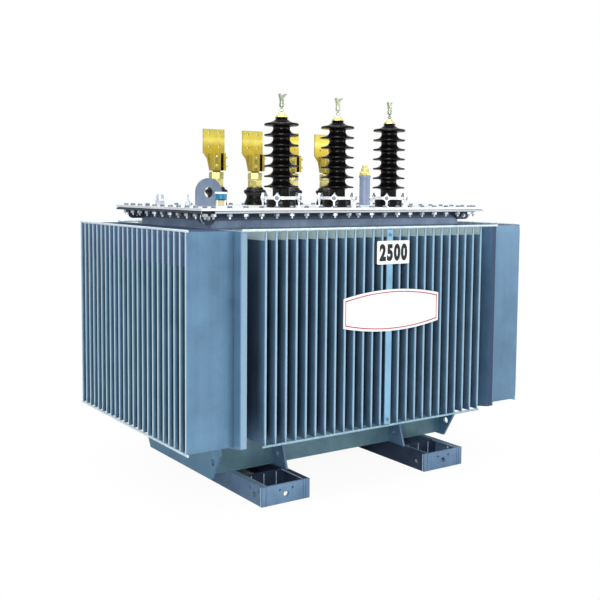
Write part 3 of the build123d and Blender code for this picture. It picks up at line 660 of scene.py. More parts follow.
# %% Tree for one wall
def wall_tree():
    """Row of fins on a panel, built along X and facing +Y, then turned and moved."""
    tree, given = new_tree(
        "corrugated_wall",
        {
            "Fin": ("Object", None),
            "Count": ("Int", 25),
            "Span": ("Float", 1.4),
            "Fin Foot": ("Float", 0.3),
            "Panel Size": ("Vector", (1.6, 0.006, 1.0)),
            "Panel Middle": ("Vector", (0.0, 0.0, 0.8)),
            "Turn": ("Float", 0.0),
            "Face": ("Vector", (0.0, 0.4, 0.0)),
            "Finish": ("Material", None),
        },
    )
    ends = []
    for share in (-0.5, 0.5):
        feeds = {"X": maths(tree, "MULTIPLY", given["Span"], share), "Z": given["Fin Foot"]}
        ends.append(add_node(tree, "ShaderNodeCombineXYZ", feeds).outputs[0])
    feeds = {"Count": given["Count"], "Start Location": ends[0], "Offset": ends[1]}
    row = add_node(tree, "GeometryNodeMeshLine", feeds, mode="END_POINTS")
    fin = add_node(tree, "GeometryNodeObjectInfo", {"Object": given["Fin"], "As Instance": True})
    feeds = {"Points": row.outputs["Mesh"], "Instance": fin.outputs["Geometry"]}
    fins = add_node(tree, "GeometryNodeInstanceOnPoints", feeds)
    panel = add_node(tree, "GeometryNodeMeshCube", {"Size": given["Panel Size"]})
    feeds = {"Geometry": panel.outputs["Mesh"], "Translation": given["Panel Middle"]}
    lift = add_node(tree, "GeometryNodeTransform", feeds)
    both = add_node(tree, "GeometryNodeJoinGeometry", {"Geometry": fins.outputs["Instances"]})
    feed(tree, both, {"Geometry": lift.outputs["Geometry"]})
    turning = add_node(tree, "ShaderNodeCombineXYZ", {"Z": given["Turn"]}).outputs[0]
    feeds = {"Geometry": both.outputs["Geometry"], "Rotation": turning, "Translation": given["Face"]}
    move = add_node(tree, "GeometryNodeTransform", feeds)
    return finish_tree(tree, move.outputs["Geometry"], given["Finish"])


# %% Four walls
SHEET = 6 * MM
FRONT_PANEL_LENGTH, FRONT_PANEL_FOOT = 1622 * MM, 290 * MM
SLIVER = 1 * MM
FREE_FOOT_SHADE, FREE_SHADE, FREE_ROOT_SHADE, ROOT_MARGIN = 0.4, 0.78, 0.45, 8 * MM
# Each side's fins, length of the row, depth, reach of the light into the gaps, turn and way out
wall_rows = {
    "front": (25, 1.424, 321 * MM, 62 * MM, math.pi, (0.0, -1.0)),
    "back": (25, 1.424, 321 * MM, 62 * MM, 0.0, (0.0, 1.0)),
    "left": (23, 1.300, 256 * MM, 18 * MM, math.pi / 2, (-1.0, 0.0)),
    "right": (23, 1.300, 256 * MM, 18 * MM, -math.pi / 2, (1.0, 0.0)),
}
corrugation = wall_tree()
carrier = mesh_object("carrier", bpy.data.meshes.new("carrier"))
for side, (count, span, depth, dark_depth, turned, way) in wall_rows.items():
    node = f"corrugated_wall_{side}"
    low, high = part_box(node)
    blank = mesh_object(f"fin_{side}", fin_skin(f"fin_{side}", depth, FIN_TOP - FIN_FOOT, dark_depth))
    tip = high if way[0] + way[1] > 0 else low
    if way[0]:
        face, panel_length, panel_foot = abs(tip.x) - depth, high.y - low.y, FIN_FOOT
    else:
        face, panel_length, panel_foot = abs(tip.y) - depth, FRONT_PANEL_LENGTH, FRONT_PANEL_FOOT
    values = {
        "Fin": blank,
        "Count": count,
        "Span": span,
        "Fin Foot": FIN_FOOT,
        "Panel Size": (panel_length, SHEET, FIN_TOP - panel_foot),
        "Panel Middle": (0.0, -SHEET / 2, (FIN_TOP + panel_foot) / 2),
        "Turn": turned,
        "Face": (way[0] * face, way[1] * face, 0.0),
        "Finish": finishes["side_fin_zinc" if way[0] else "fin_zinc"],
    }
    mesh = run_tree(corrugation, carrier, values)
    bpy.data.objects.remove(blank)
    # The outer sides of the end fins get less painted shade, and on the left and the right no painted bands
    deep, inside = mesh.attributes["deep"].data, mesh.attributes["inside"].data
    for vertex in mesh.vertices:
        along, across = (abs(vertex.co.y), abs(vertex.co.x)) if way[0] else (abs(vertex.co.x), 0.0)
        if along <= span / 2 + SLIVER:
            continue
        if way[0]:
            near_root = across < face + SLIVER and along < span / 2 + ROOT_MARGIN
            deep[vertex.index].value = FREE_ROOT_SHADE if near_root else 0.0
            inside[vertex.index].value = 0.0
        else:
            low_down = vertex.co.z < FIN_FOOT + FIN_PINCH + SLIVER
            deep[vertex.index].value *= FREE_FOOT_SHADE if low_down else FREE_SHADE
    keep_piece(f"fins_{side}", mesh, (node,), 0)

# %% [markdown]
# ## Tie rods
# A round rod is welded across the fin tips, one at the top and one at the bottom of each wall, so
# that the fins can't spread. Each is a short straight path swept with a circle.

# %% Tie rods
def rod_tree():
    """A round bar from one point to another, with closed ends."""
    tree, given = new_tree(
        "round_bar",
        {
            "Start": ("Vector", (0.0, 0.0, 0.0)),
            "End": ("Vector", (1.0, 0.0, 0.0)),
            "Radius": ("Float", 0.006),
            "Sides": ("Int", 12),
            "Finish": ("Material", None),
        },
    )
    line = add_node(tree, "GeometryNodeCurvePrimitiveLine", {"Start": given["Start"], "End": given["End"]})
    feeds = {"Resolution": given["Sides"], "Radius": given["Radius"]}
    ring = add_node(tree, "GeometryNodeCurvePrimitiveCircle", feeds)
    feeds = {"Curve": line.outputs["Curve"], "Profile Curve": ring.outputs["Curve"], "Fill Caps": True}
    sweep = add_node(tree, "GeometryNodeCurveToMesh", feeds)
    return finish_tree(tree, sweep.outputs["Mesh"], given["Finish"])


def merge_meshes(name, meshes):
    """Joins several meshes of one finish into one."""
    whole = bmesh.new()
    for mesh in meshes:
        whole.from_mesh(mesh)
    merged = bpy.data.meshes.new(name)
    merged.materials.append(meshes[0].materials[0])
    whole.to_mesh(merged)
    whole.free()
    return merged


ROD_RADIUS = 6 * MM
ROD_SINK = 2 * MM
ROD_INSET = 7 * MM
ROD_OVERRUN = 12 * MM
HEADER_REACH = 843 * MM
round_bar = rod_tree()
bars = {"rod_zinc": [], "foot_rod_zinc": []}
for side, (count, span, depth, dark_depth, turned, way) in wall_rows.items():
    low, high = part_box(f"corrugated_wall_{side}")
    for height, half_run in (
        (FIN_TOP + ROD_RADIUS - ROD_SINK, HEADER_REACH if way[1] else span / 2 + ROD_OVERRUN),
        (FIN_FOOT - ROD_RADIUS + ROD_SINK, span / 2 + ROD_OVERRUN),
    ):
        if way[1]:
            row = (high.y if way[1] > 0 else low.y) - way[1] * ROD_INSET
            ends = ((-half_run, row, height), (half_run, row, height))
        else:
            row = (high.x if way[0] > 0 else low.x) - way[0] * ROD_INSET
            ends = ((row, -half_run, height), (row, half_run, height))
        # The lower rods of the front and back walls take the darker copy as painted shade
        finish = "rod_zinc" if height > FIN_TOP or way[0] else "foot_rod_zinc"
        values = {"Start": ends[0], "End": ends[1], "Radius": ROD_RADIUS, "Finish": finishes[finish]}
        bars[finish].append(run_tree(round_bar, carrier, values))
keep_piece("tie_rods", merge_meshes("tie_rods", bars["rod_zinc"]))
keep_piece("foot_tie_rods", merge_meshes("foot_tie_rods", bars["foot_rod_zinc"]))

# %% [markdown]
# ## Turned and hexagonal parts
# Bolts, nuts, porcelain and pipes are all a profile turned about an upright line. `add_turned`
# takes the profile as radius and height, from the bottom up. Six sides give a nut and many sides
# give a round part. `add_slab` pushes a flat outline out along one axis.

# %% Helpers for turned parts and slabs
def add_turned(shell, profile, sides=6, centre=(0.0, 0.0), turned=0.0):
    """Adds a profile of (radius, height) points, turned about an upright line, to a bmesh."""
    loops = []
    for radius, z in profile:
        loops.append([])
        for step in range(sides):
            angle = turned + 2 * math.pi * step / sides
            place = (centre[0] + radius * math.cos(angle), centre[1] + radius * math.sin(angle), z)
            loops[-1].append(shell.verts.new(place))
    for below, above in zip(loops, loops[1:]):
        for step in range(sides):
            after = (step + 1) % sides
            shell.faces.new((below[step], below[after], above[after], above[step]))
    shell.faces.new(loops[0][::-1])
    shell.faces.new(loops[-1])


def nut_profile(corner, low, high, chamfer):
    """A hexagon nut's profile, cut back at the top and the bottom."""
    inner = corner - chamfer
    return (inner, low), (corner, low + chamfer), (corner, high - chamfer), (inner, high)


def polygon(radius, sides=6, middle=(0.0, 0.0)):
    """Corners of a regular outline."""
    angles = [2 * math.pi * step / sides for step in range(sides)]
    return [(middle[0] + radius * math.cos(a), middle[1] + radius * math.sin(a)) for a in angles]


def add_slab(shell, outline, low, high, axis="Z"):
    """Adds a flat outline, pushed out along one axis from low to high."""
    spot = "XYZ".index(axis)
    loops = []
    for depth in (low, high):
        loops.append([shell.verts.new((*point[:spot], depth, *point[spot:])) for point in outline])
    count = len(outline)
    faces = [shell.faces.new(loops[0]), shell.faces.new(loops[1])]
    for step in range(count):
        after = (step + 1) % count
        faces.append(shell.faces.new((loops[0][step], loops[0][after], loops[1][after], loops[1][step])))
    bmesh.ops.recalc_face_normals(shell, faces=faces)


def mesh_from(name, build, finish=None):
    """Makes a mesh by running a build function on an empty bmesh."""
    shell = bmesh.new()
    build(shell)
    mesh = bpy.data.meshes.new(name)
    shell.to_mesh(mesh)
    shell.free()
    if finish:
        mesh.materials.append(finishes[finish])
    return mesh


def middle_of(node):
    """Centre line of an upright node, with its foot."""
    low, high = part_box(node)
    return (low.x + high.x) / 2, (low.y + high.y) / 2, low.z


def turned_piece(name, finish, slot, profiles, nodes, replaced=True, smooth_angle=35.0):
    """One turned part for each node, with heights measured from the node's foot in millimetres."""
    for number, node in enumerate(nodes, 1):
        x, y, foot = middle_of(node)

        def build(shell):
            for sides, turned, profile in profiles:
                scaled = [(radius * MM, foot + height * MM) for radius, height in profile]
                add_turned(shell, scaled, sides, (x, y), turned)

        label = name if len(nodes) == 1 else f"{name}_{number}"
        mesh = mesh_from(label, build, finish)
        keep_piece(label, mesh, (node,) if replaced else (), smooth_angle)


# %% [markdown]
# ## Cover bolts
# The cover is bolted down all round, at a pitch of about ninety millimetres. The head and its
# washer lie on top of the cover, the nut and the tail of the bolt hang under the flange. Each is a
# small mesh of few faces, and a tree copies it to every place on the rim.

# %% Tree that copies a part
def points_tree():
    """Copies a small part to every vertex of the carrier, with a turn taken from the carrier."""
    tree, given = new_tree("copies_on_points", {"Part": ("Object", None), "Finish": ("Material", None)})
    part = add_node(tree, "GeometryNodeObjectInfo", {"As Instance": True, "Object": given["Part"]})
    turned = add_node(tree, "GeometryNodeInputNamedAttribute", {"Name": "turn"}, data_type="FLOAT")
    about = add_node(tree, "ShaderNodeCombineXYZ", {"Z": turned.outputs["Attribute"]}).outputs[0]
    feeds = {"Points": given["Geometry"], "Instance": part.outputs["Geometry"], "Rotation": about}
    placed = add_node(tree, "GeometryNodeInstanceOnPoints", feeds)
    return finish_tree(tree, placed.outputs["Instances"], given["Finish"])


copies = points_tree()


def copied_piece(name, build, places, finish):
    """Copies a part to places given as (x, y, z, turn), and keeps them as one piece."""
    part = mesh_object(name + "_part", mesh_from(name + "_part", build))
    spots = bpy.data.meshes.new(name + "_places")
    spots.from_pydata([place[:3] for place in places], [], [])
    turns = spots.attributes.new("turn", "FLOAT", "POINT")
    turns.data.foreach_set("value", [place[3] for place in places])
    holder = mesh_object(name + "_places", spots)
    mesh = run_tree(copies, holder, {"Part": part, "Finish": finishes[finish]})
    mesh.name = name
    bpy.data.objects.remove(holder)
    bpy.data.objects.remove(part)
    keep_piece(name, mesh)


# %% Bolts and their places
cover_low, cover_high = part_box("cover_plate")
flange_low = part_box("tank_flange")[0]


def bolt_head(shell):
    add_turned(shell, ((0.014, 0.0), (0.014, 0.0025)), 12)
    add_turned(shell, ((0.0125, 0.0025), (0.0125, 0.009), (0.0105, 0.011)), 6)


def bolt_nut(shell):
    add_turned(shell, ((0.0135, -0.0175), (0.015, -0.016), (0.015, -0.0035), (0.0135, -0.0035)), 6)
    add_turned(shell, ((0.0045, -0.030), (0.0058, -0.0285), (0.0058, -0.0175)), 8)


def bolt_washer(shell):
    add_turned(shell, ((0.0125, -0.0035), (0.0125, 0.0)), 12)


FRONT_ROW = cover_high.y - 35 * MM
SIDE_ROW = cover_high.x - 42 * MM
FRONT_FIRST, FRONT_PITCH, FRONT_COUNT = 32 * MM, 92 * MM, 10
SIDE_PITCH, SIDE_COUNT = 93.5 * MM, 5
bolt_rows = []
for way in (-1, 1):
    for side in (-1, 1):
        for step in range(FRONT_COUNT):
            bolt_rows.append((side * (FRONT_FIRST + step * FRONT_PITCH), way * FRONT_ROW, 0.37 * step))
    for step in range(-SIDE_COUNT, SIDE_COUNT + 1):
        bolt_rows.append((way * SIDE_ROW, step * SIDE_PITCH, 0.61 * step))
above = [(x, y, cover_high.z, turn) for x, y, turn in bolt_rows]
under = [(x, y, flange_low.z, turn) for x, y, turn in bolt_rows]
copied_piece("bolt_heads", bolt_head, above, "dull_bolt")
copied_piece("bolt_nuts", bolt_nut, under, "bright_zinc")
copied_piece("bolt_washers", bolt_washer, under, "dull_bolt")
print("cover bolts", len(bolt_rows))

# %% [markdown]
# ## High-voltage porcelain
# A bushing is a stack of sheds on a slender core, turned from one piece of porcelain and dipped in
# black glaze. Each shed is thin at its rim, hollowed on top, and almost flat below with a small
# drip edge, so rain leaves it in drops. The profile of one shed is written once and stepped up the
# core; the last one runs out into the neck.

# %% Porcelain of the high-voltage bushings
SHED_FIRST, SHED_PITCH, SHED_COUNT = 110, 54, 7
shed_profile = ((45, -15), (49, -10), (60, -6.5), (85, -4), (88, -5.5), (90.5, -4.5), (91.5, -1))
last_shed = shed_profile + ((91, 3), (88, 7), (78, 9), (66, 11), (54, 14))
last_shed += ((44, 19), (37, 25), (31, 29), (30, 33))
shed_profile += ((91, 2.5), (87, 4), (76, 5.5), (64, 9), (54, 15), (48, 22), (45, 30))
hv_profile = [(72, 0), (77, 2), (78, 6), (78, 36), (75, 41), (45, 42)]
for shed in range(SHED_COUNT):
    rim = SHED_FIRST + shed * SHED_PITCH
    shape = last_shed if shed == SHED_COUNT - 1 else shed_profile
    hv_profile += [(radius, rim + rise) for radius, rise in shape]
hv_profile += [(35, 468.5), (36, 470), (34, 472)]
hv_nodes = [f"hv_porcelain_{number}" for number in (1, 2, 3)]
PORCELAIN = "porcelain_glaze", "glazed_porcelain"
turned_piece("hv_insulator", *PORCELAIN, ((72, 0.0, hv_profile),), hv_nodes, smooth_angle=50.0)

# %% [markdown]
# ## Terminals of the high-voltage bushings
# A yellow cap with a hexagon foot closes the porcelain, and a threaded stud rises through it. On
# the stud sits a cast clamp with two jaws, which hold the line conductor and are drawn together by
# a bolt across them. The jaws are free-form castings, so they are written as two flat outlines.

# %% Caps, studs and jaws
terminal_nodes = [f"hv_terminal_{number}" for number in (1, 2, 3)]
cap_parts = (
    (6, 0.3, ((28, 0), (30, 1.5), (30, 9), (27, 11))),
    (32, 0.0, ((22, 10), (22, 13), (18, 18), (15, 25), (12, 27))),
)
turned_piece("hv_cap", "cap_brass", "tinned_brass", cap_parts, terminal_nodes, False)
JAW_FOOT = 89
jaw_left = ((-9, 0), (-12, 8), (-17, 19), (-20, 33), (-13, 36), (-9, 26), (-4, 14), (0, 9), (0, 0))
jaw_right = ((0, 0), (0, 9), (4, 16), (9, 25), (15, 32), (26, 36))
jaw_right += ((30, 30), (20, 24), (14, 16), (11, 8), (9, 0))
stud_parts = (
    (8, 0.0, ((6, 27), (6, 58))),
    (6, 0.5, nut_profile(10.5, 33, 41, 1.2)),
    (20, 0.0, ((9, 54), (12, 56), (13, 62), (13, 72), (11, 77), (11, 84), (13, 89), (12, 100))),
)


def terminal_builder(x, y, foot):
    def build(shell):
        for sides, turned, profile in stud_parts:
            scaled = [(radius * MM, foot + height * MM) for radius, height in profile]
            add_turned(shell, scaled, sides, (x, y), turned)
        for outline, front, back in ((jaw_left, -13, 4), (jaw_right, -5, 13)):
            shape = [(x + a * MM, foot + (JAW_FOOT + b) * MM) for a, b in outline]
            add_slab(shell, shape, y + front * MM, y + back * MM, "Y")

    return build


for number, node in enumerate(terminal_nodes, 1):
    mesh = mesh_from(f"hv_connector_{number}", terminal_builder(*middle_of(node)), "terminal_alloy")
    keep_piece(f"hv_connector_{number}", mesh, (node,))

# %% [markdown]
# ## Claws of the ring clamps
# A white cast ring presses each bushing's foot on its gasket. Four claws stand on the diagonals:
# each has a diamond-shaped ear with a bolt through it, a leg down to the cover, and a stud with a
# nut on top. One claw is built pointing along X and copied twelve times by the tree.

# %% Claws
ring_low, ring_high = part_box("hv_clamp_ring_1")
RING_FOOT = ring_low.z - cover_high.z
RING_TOP = ring_high.z - cover_high.z
RING_MIDDLE = (RING_FOOT + RING_TOP) / 2
STUD_PLACE = (0.084, 0.0)


def claw(shell):
    ear = ((-0.026, 0.0), (-0.011, -0.013), (0.0, -0.026), (0.011, -0.013))
    ear += ((0.026, 0.0), (0.011, 0.013), (0.0, 0.026), (-0.011, 0.013))
    add_slab(shell, [(a, RING_MIDDLE + b) for a, b in ear], 0.092, 0.104, "X")
    block = ((0.074, -0.012), (0.094, -0.010), (0.094, 0.010), (0.074, 0.012))
    add_slab(shell, block, RING_FOOT + 0.002, RING_TOP - 0.001)
    leg = ((0.094, -0.005), (0.102, -0.005), (0.102, 0.005), (0.094, 0.005))
    add_slab(shell, leg, 0.0, RING_MIDDLE - 0.018)
    foot = ((0.088, -0.012), (0.110, -0.012), (0.110, 0.012), (0.088, 0.012))
    add_slab(shell, foot, 0.0, 0.004)


def claw_bolt(shell):
    add_slab(shell, polygon(0.012, 6, (0.0, RING_MIDDLE)), 0.104, 0.109, "X")
    stud = ((0.0055, RING_TOP), (0.0055, RING_TOP + 0.020), (0.0035, RING_TOP + 0.022))
    add_turned(shell, stud, 8, STUD_PLACE)
    add_turned(shell, nut_profile(0.0105, RING_TOP, RING_TOP + 0.010, 0.001), 6, STUD_PLACE)


claw_places = []
for node in hv_nodes:
    x, y, foot = middle_of(node)
    for quarter in range(4):
        claw_places.append((x, y, cover_high.z, math.pi / 4 + quarter * math.pi / 2))
copied_piece("ring_claws", claw, claw_places, "ring_zinc")
copied_piece("claw_bolts", claw_bolt, claw_places, "dull_bolt")

# %% [markdown]
# ## Low-voltage bushings
# These carry a heavy current at a low voltage, so the porcelain is short and the stud is thick.
# The bell has a foot, a waist and one broad shed. The stud is threaded all the way up: two big
# nuts and a washer seat it on the porcelain, and the flag is clamped to what stands above them.

# %% Bells, nuts and threads
lv_nodes = [f"lv_porcelain_{number}" for number in (1, 2, 3, 4)]
bell = ((60, 0), (63, 2), (64, 7), (62, 16), (56, 30), (51, 44), (50, 54), (54, 62), (63, 71), (66.5, 76))
bell += ((67, 81), (66, 87), (62, 91), (53, 94), (51, 99), (48, 105), (44, 106))
turned_piece("lv_bell", *PORCELAIN, ((56, 0.0, bell),), lv_nodes, smooth_angle=50.0)
stud_nodes = [f"lv_stud_{number}" for number in (1, 2, 3, 4)]
thread = []
for turn in range(20):
    thread += [(22.4, 88 + turn * 5.2), (24, 90.6 + turn * 5.2)]
thread += [(22.4, 192.4), (21, 196)]
nut_parts = (
    (40, 0.0, ((42, 0), (44, 1), (44, 5), (42, 6))),
    (6, 0.22, nut_profile(43.3, 6, 44, 3)),
    (6, 0.46, nut_profile(43.3, 45.5, 87.5, 3)),
    (28, 0.0, thread),
)
turned_piece("lv_nuts", "nut_brass", "tinned_brass", nut_parts, stud_nodes, smooth_angle=25.0)

# %% [markdown]
# The clamp of each flag is closed by two bolts through its ears, which lie across the slot.

# %% Bolts of the flag clamps
EAR_HALF = 25 * MM
BOLT_ROW = -55 * MM
CLAMP_BOLT_HEIGHTS = (27 * MM, 77 * MM)


def clamp_bolts(shell):
    for height in CLAMP_BOLT_HEIGHTS:
        for radius, low, high in (
            (0.0125, -EAR_HALF - 0.0025, -EAR_HALF),
            (0.0105, -EAR_HALF - 0.010, -EAR_HALF - 0.0025),
            (0.0125, EAR_HALF, EAR_HALF + 0.0025),
            (0.0105, EAR_HALF + 0.0025, EAR_HALF + 0.012),
            (0.006, EAR_HALF + 0.012, EAR_HALF + 0.020),
        ):
            add_slab(shell, polygon(radius, 6, (BOLT_ROW, height)), low, high, "X")


flag_places = []
for number, stud in enumerate(stud_nodes, 1):
    x, y, foot = middle_of(stud)
    flag_places.append((x, y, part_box(f"lv_flag_{number}")[0].z, 0.0))
copied_piece("clamp_bolts", clamp_bolts, flag_places, "nut_brass")

# %% [markdown]
# ## Fittings on the cover
# The oil gauge is a glass cylinder between two white rims, with a blue sleeve at its top, a dark
# seal and four posts. The filler has a screw cap in two steps. A thermometer pocket and a vent
# valve stand at the left end.

# %% Gauge, filler cap, pocket and valve
gauge = ["oil_gauge"]
turned_piece("gauge_glass", "gauge_amber", "gauge_body", ((40, 0.0, ((26, 6), (26, 38))),), gauge)
seal = ((28, 37), (29, 38), (29, 42), (28, 43))
turned_piece("gauge_seal", "dark_seal", "gauge_body", ((40, 0.0, seal),), gauge, False)
sleeve = ((28.5, 43), (29.5, 44), (29.5, 70), (28.5, 71))
turned_piece("gauge_sleeve", "gauge_blue", "gauge_body", ((40, 0.0, sleeve),), gauge, False)
rim_parts = (
    (40, 0.0, ((30, 0), (32, 1.5), (32, 5), (30, 7))),
    (40, 0.0, ((29, 70), (32, 71.5), (32, 76), (30, 79))),
)
turned_piece("gauge_rims", "gauge_white", "gauge_body", rim_parts, gauge, False)


def gauge_post(shell):
    add_turned(shell, ((0.003, 0.006), (0.003, 0.040)), 8, (0.0275, 0.0))


post_places = [(*middle_of("oil_gauge"), 0.35 + quarter * math.pi / 2) for quarter in range(4)]
copied_piece("gauge_posts", gauge_post, post_places, "gauge_white")
cap_steps = (
    (6, 0.2, nut_profile(35, 0, 22, 2)),
    (32, 0.0, ((24, 22), (24, 28))),
    (6, 0.5, nut_profile(25, 28, 46, 2)),
    (24, 0.0, ((15, 46), (15, 50))),
    (6, 0.2, nut_profile(19, 50, 66, 2)),
)
turned_piece("filler_screw_cap", "cap_brass", "tinned_brass", cap_steps, ["filler_cap"])
pocket_parts = (
    (6, 0.1, nut_profile(30, 0, 32, 2)),
    (32, 0.0, ((19, 32), (21, 34), (21, 50), (18, 60), (12, 64))),
)
turned_piece("pocket_cap", "bright_zinc", "bright_zinc", pocket_parts, ["thermometer_pocket"])
valve_parts = (
    (6, 0.4, nut_profile(17, 0, 14, 1.5)),
    (24, 0.0, ((11, 14), (11, 22), (7, 34), (5, 48), (4, 62), (2.5, 64))),
)
turned_piece("valve_body", "weld_zinc", "bright_zinc", valve_parts, ["vent_valve"])

# %% [markdown]
# ## Weld beads
# The frame is welded together, and the beads catch the light. Each bead follows a straight line of
# points. The tree turns the line into a curve, samples it every few millimetres, sweeps a small
# circle along it and shakes the surface with noise, which gives the ripples.

# %% Tree for weld beads
def bead_tree():
    """Rippled beads along the edges of the carrier."""
    tree, given = new_tree(
        "weld_bead",
        {
            "Radius": ("Float", 0.003),
            "Step": ("Float", 0.006),
            "Ripple": ("Float", 0.0012),
            "Seed": ("Float", 3.0),
            "Finish": ("Material", None),
        },
    )
    curve = add_node(tree, "GeometryNodeMeshToCurve", {"Mesh": given["Geometry"]}).outputs["Curve"]
    feeds = {"Curve": curve, "Length": given["Step"]}
    sample = add_node(tree, "GeometryNodeResampleCurve", feeds, mode="LENGTH")
    ring = add_node(tree, "GeometryNodeCurvePrimitiveCircle", {"Resolution": 6, "Radius": given["Radius"]})
    feeds = {"Curve": sample.outputs["Curve"], "Profile Curve": ring.outputs["Curve"], "Fill Caps": True}
    sweep = add_node(tree, "GeometryNodeCurveToMesh", feeds)
    feeds = {"Scale": 90.0, "W": given["Seed"]}
    noise = add_node(tree, "ShaderNodeTexNoise", feeds, noise_dimensions="4D")
    feeds = {0: noise.outputs["Color"], 1: (0.5, 0.5, 0.5)}
    centred = add_node(tree, "ShaderNodeVectorMath", feeds, operation="SUBTRACT").outputs[0]
    feeds = {0: centred, "Scale": given["Ripple"]}
    shake = add_node(tree, "ShaderNodeVectorMath", feeds, operation="SCALE").outputs[0]
    move = add_node(tree, "GeometryNodeSetPosition", {"Geometry": sweep.outputs["Mesh"], "Offset": shake})
    return finish_tree(tree, move.outputs["Geometry"], given["Finish"])


weld_bead = bead_tree()


def add_beads(name, lines, radius, finish, step=0.006):
    """Lays beads along straight lines given as pairs of points."""
    points = [point for line in lines for point in line]
    runs = bpy.data.meshes.new(name + "_runs")
    runs.from_pydata(points, [(2 * k, 2 * k + 1) for k in range(len(lines))], [])
    holder = mesh_object(name + "_runs", runs)
    values = {"Radius": radius, "Step": step, "Ripple": radius * 0.5, "Finish": finishes[finish]}
    mesh = run_tree(weld_bead, holder, values)
    mesh.name = name
    bpy.data.objects.remove(holder)
    keep_piece(name, mesh)


# %% Where the beads lie
def upright(x, y, low, high):
    return (x, y, low), (x, y, high)


PLATE_WELD_BACK, PLATE_WELD_SPAN = 12 * MM, (2 * MM, 98 * MM)
SEAM_BACK, SEAM_ASIDE, SECOND_SEAM_ASIDE, SEAM_SPAN = 1.2 * MM, 24 * MM, 40 * MM, (3 * MM, 97 * MM)
POCKET_WELD_SHARES, POCKET_WELD_SPAN = (0.22, 0.5, 0.78), (10 * MM, 92 * MM)
TOP_WELD_BACK, TOP_WELD_ASIDE, TOP_WELD_HEIGHT = 14 * MM, 34 * MM, 98.5 * MM
welds, seams = [], []
for side in ("left", "right"):
    low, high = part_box(f"skid_{side}_end_plates")
    pocket_low, pocket_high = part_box(f"skid_{side}_pocket_plates")
    for way in (-1, 1):
        face = high.y if way > 0 else low.y
        for x in (low.x, high.x):
            welds.append(upright(x, face - way * PLATE_WELD_BACK, *PLATE_WELD_SPAN))
        for x in (low.x + SEAM_ASIDE, high.x - SEAM_ASIDE, high.x - SECOND_SEAM_ASIDE):
            seams.append(upright(x, face - way * SEAM_BACK, *SEAM_SPAN))
        inner = pocket_high.y if way > 0 else pocket_low.y
        for share in POCKET_WELD_SHARES:
            x = pocket_low.x + share * (pocket_high.x - pocket_low.x)
            welds.append(upright(x, inner, *POCKET_WELD_SPAN))
        outer = face - way * TOP_WELD_BACK
        for x in (low.x + TOP_WELD_ASIDE, high.x - TOP_WELD_ASIDE):
            welds.append(((x, outer, TOP_WELD_HEIGHT), (x, inner, TOP_WELD_HEIGHT)))
add_beads("skid_welds", welds, 2.6 * MM, "weld_zinc")
add_beads("skid_seams", seams, 2.0 * MM, "dark_zinc")


def level(start, end, height, across, lengthwise=True):
    """A level line between two places along one axis, at one place across it."""
    if lengthwise:
        return (start, across, height), (end, across, height)
    return (across, start, height), (across, end, height)


rail_low, rail_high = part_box("base_rail_front")
header_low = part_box("end_header_left")[0]
BASE_TOP_SEAM, BASE_FOOT_SEAM = 289 * MM, 101 * MM
GUSSET_EDGE, SKID_EDGE, END_HALF = 391 * MM, 679 * MM, 440 * MM
RAIL_WELD_SPAN = (104 * MM, 286 * MM)
BEAD_SINK = 1 * MM
half_rail = rail_high.x
welds = []
for way in (-1, 1):
    row = -way * rail_low.y
    for side in (-1, 1):
        welds.append(upright(side * half_rail, row, *RAIL_WELD_SPAN))
        welds.append(level(side * GUSSET_EDGE, side * SKID_EDGE, BASE_FOOT_SEAM, row))
    welds.append(level(-half_rail, half_rail, BASE_TOP_SEAM, row))
for side in (-1, 1):
    outer = side * (abs(header_low.x) - BEAD_SINK)
    welds.append(level(-END_HALF, END_HALF, BASE_TOP_SEAM, outer, False))
add_beads("base_welds", welds, 3 * MM, "rail_zinc")

body_low, body_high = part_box("tank_body")
neck_top, neck_foot = flange_low.z - 1 * MM, FIN_TOP + 2 * MM
welds = []
for way in (-1, 1):
    for height in (neck_top, neck_foot):
        welds.append(level(body_low.x, body_high.x, height, way * body_high.y))
for side in (-1, 1):
    welds.append(level(body_low.y, body_high.y, neck_top, side * body_high.x, False))
add_beads("neck_welds", welds, 3 * MM, "tank_zinc", 0.008)

lug_low, lug_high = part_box("cover_lifting_lug")
lug_seam = cover_high.z + 1 * MM
welds = [level(lug_low.x, lug_high.x, lug_seam, y) for y in (lug_low.y, lug_high.y)]
add_beads("lug_welds", welds, 4 * MM, "lug_zinc")

# %% [markdown]
# ## Tank lugs
# At each corner a rounded lug hangs under the flange, with a shackle bolt in its eye. The front left
# one has a round facing in dark zinc as painted shade, with a bright bead along its edge as a painted
# highlight, and the flange above it has a round bite, lined with a black sheet as painted shade.

# %% Facing and bite in painted shade, edge in painted highlight, and bolts of the tank lugs
tank_lug_low, tank_lug_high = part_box("tank_corner_lugs")
FACING, FACING_ASIDE, FACING_DROP = 43 * MM, 25 * MM, 17 * MM
facing_x, facing_z = body_low.x - FACING_ASIDE, flange_low.z - FACING_DROP
BITE_ASIDE, BITE_RADIUS, BITE_SHEET, BITE_STEPS = 39 * MM, 35.6 * MM, 2 * MM, 12
BITE_MIDDLE = flange_low.x + BITE_ASIDE
EYE_ASIDE, EYE_DROP = 28 * MM, 24 * MM


def shackle_bolt(shell):
    add_slab(shell, polygon(0.012), 0.0, 0.010, "Y")
    add_slab(shell, polygon(0.0065, 10), -0.030, 0.018, "Y")


def facing_arc(first, sweep, steps):
    """Points on the rim of the facing, from one angle through a sweep, in degrees."""
    angles = [math.radians(first + sweep * step / steps) for step in range(steps + 1)]
    return [(facing_x + FACING * math.cos(a), facing_z + FACING * math.sin(a)) for a in angles]


def lug_facing(shell):
    add_slab(shell, facing_arc(157, 226, 24), tank_lug_low.y - 1.5 * MM, tank_lug_low.y + 1 * MM, "Y")


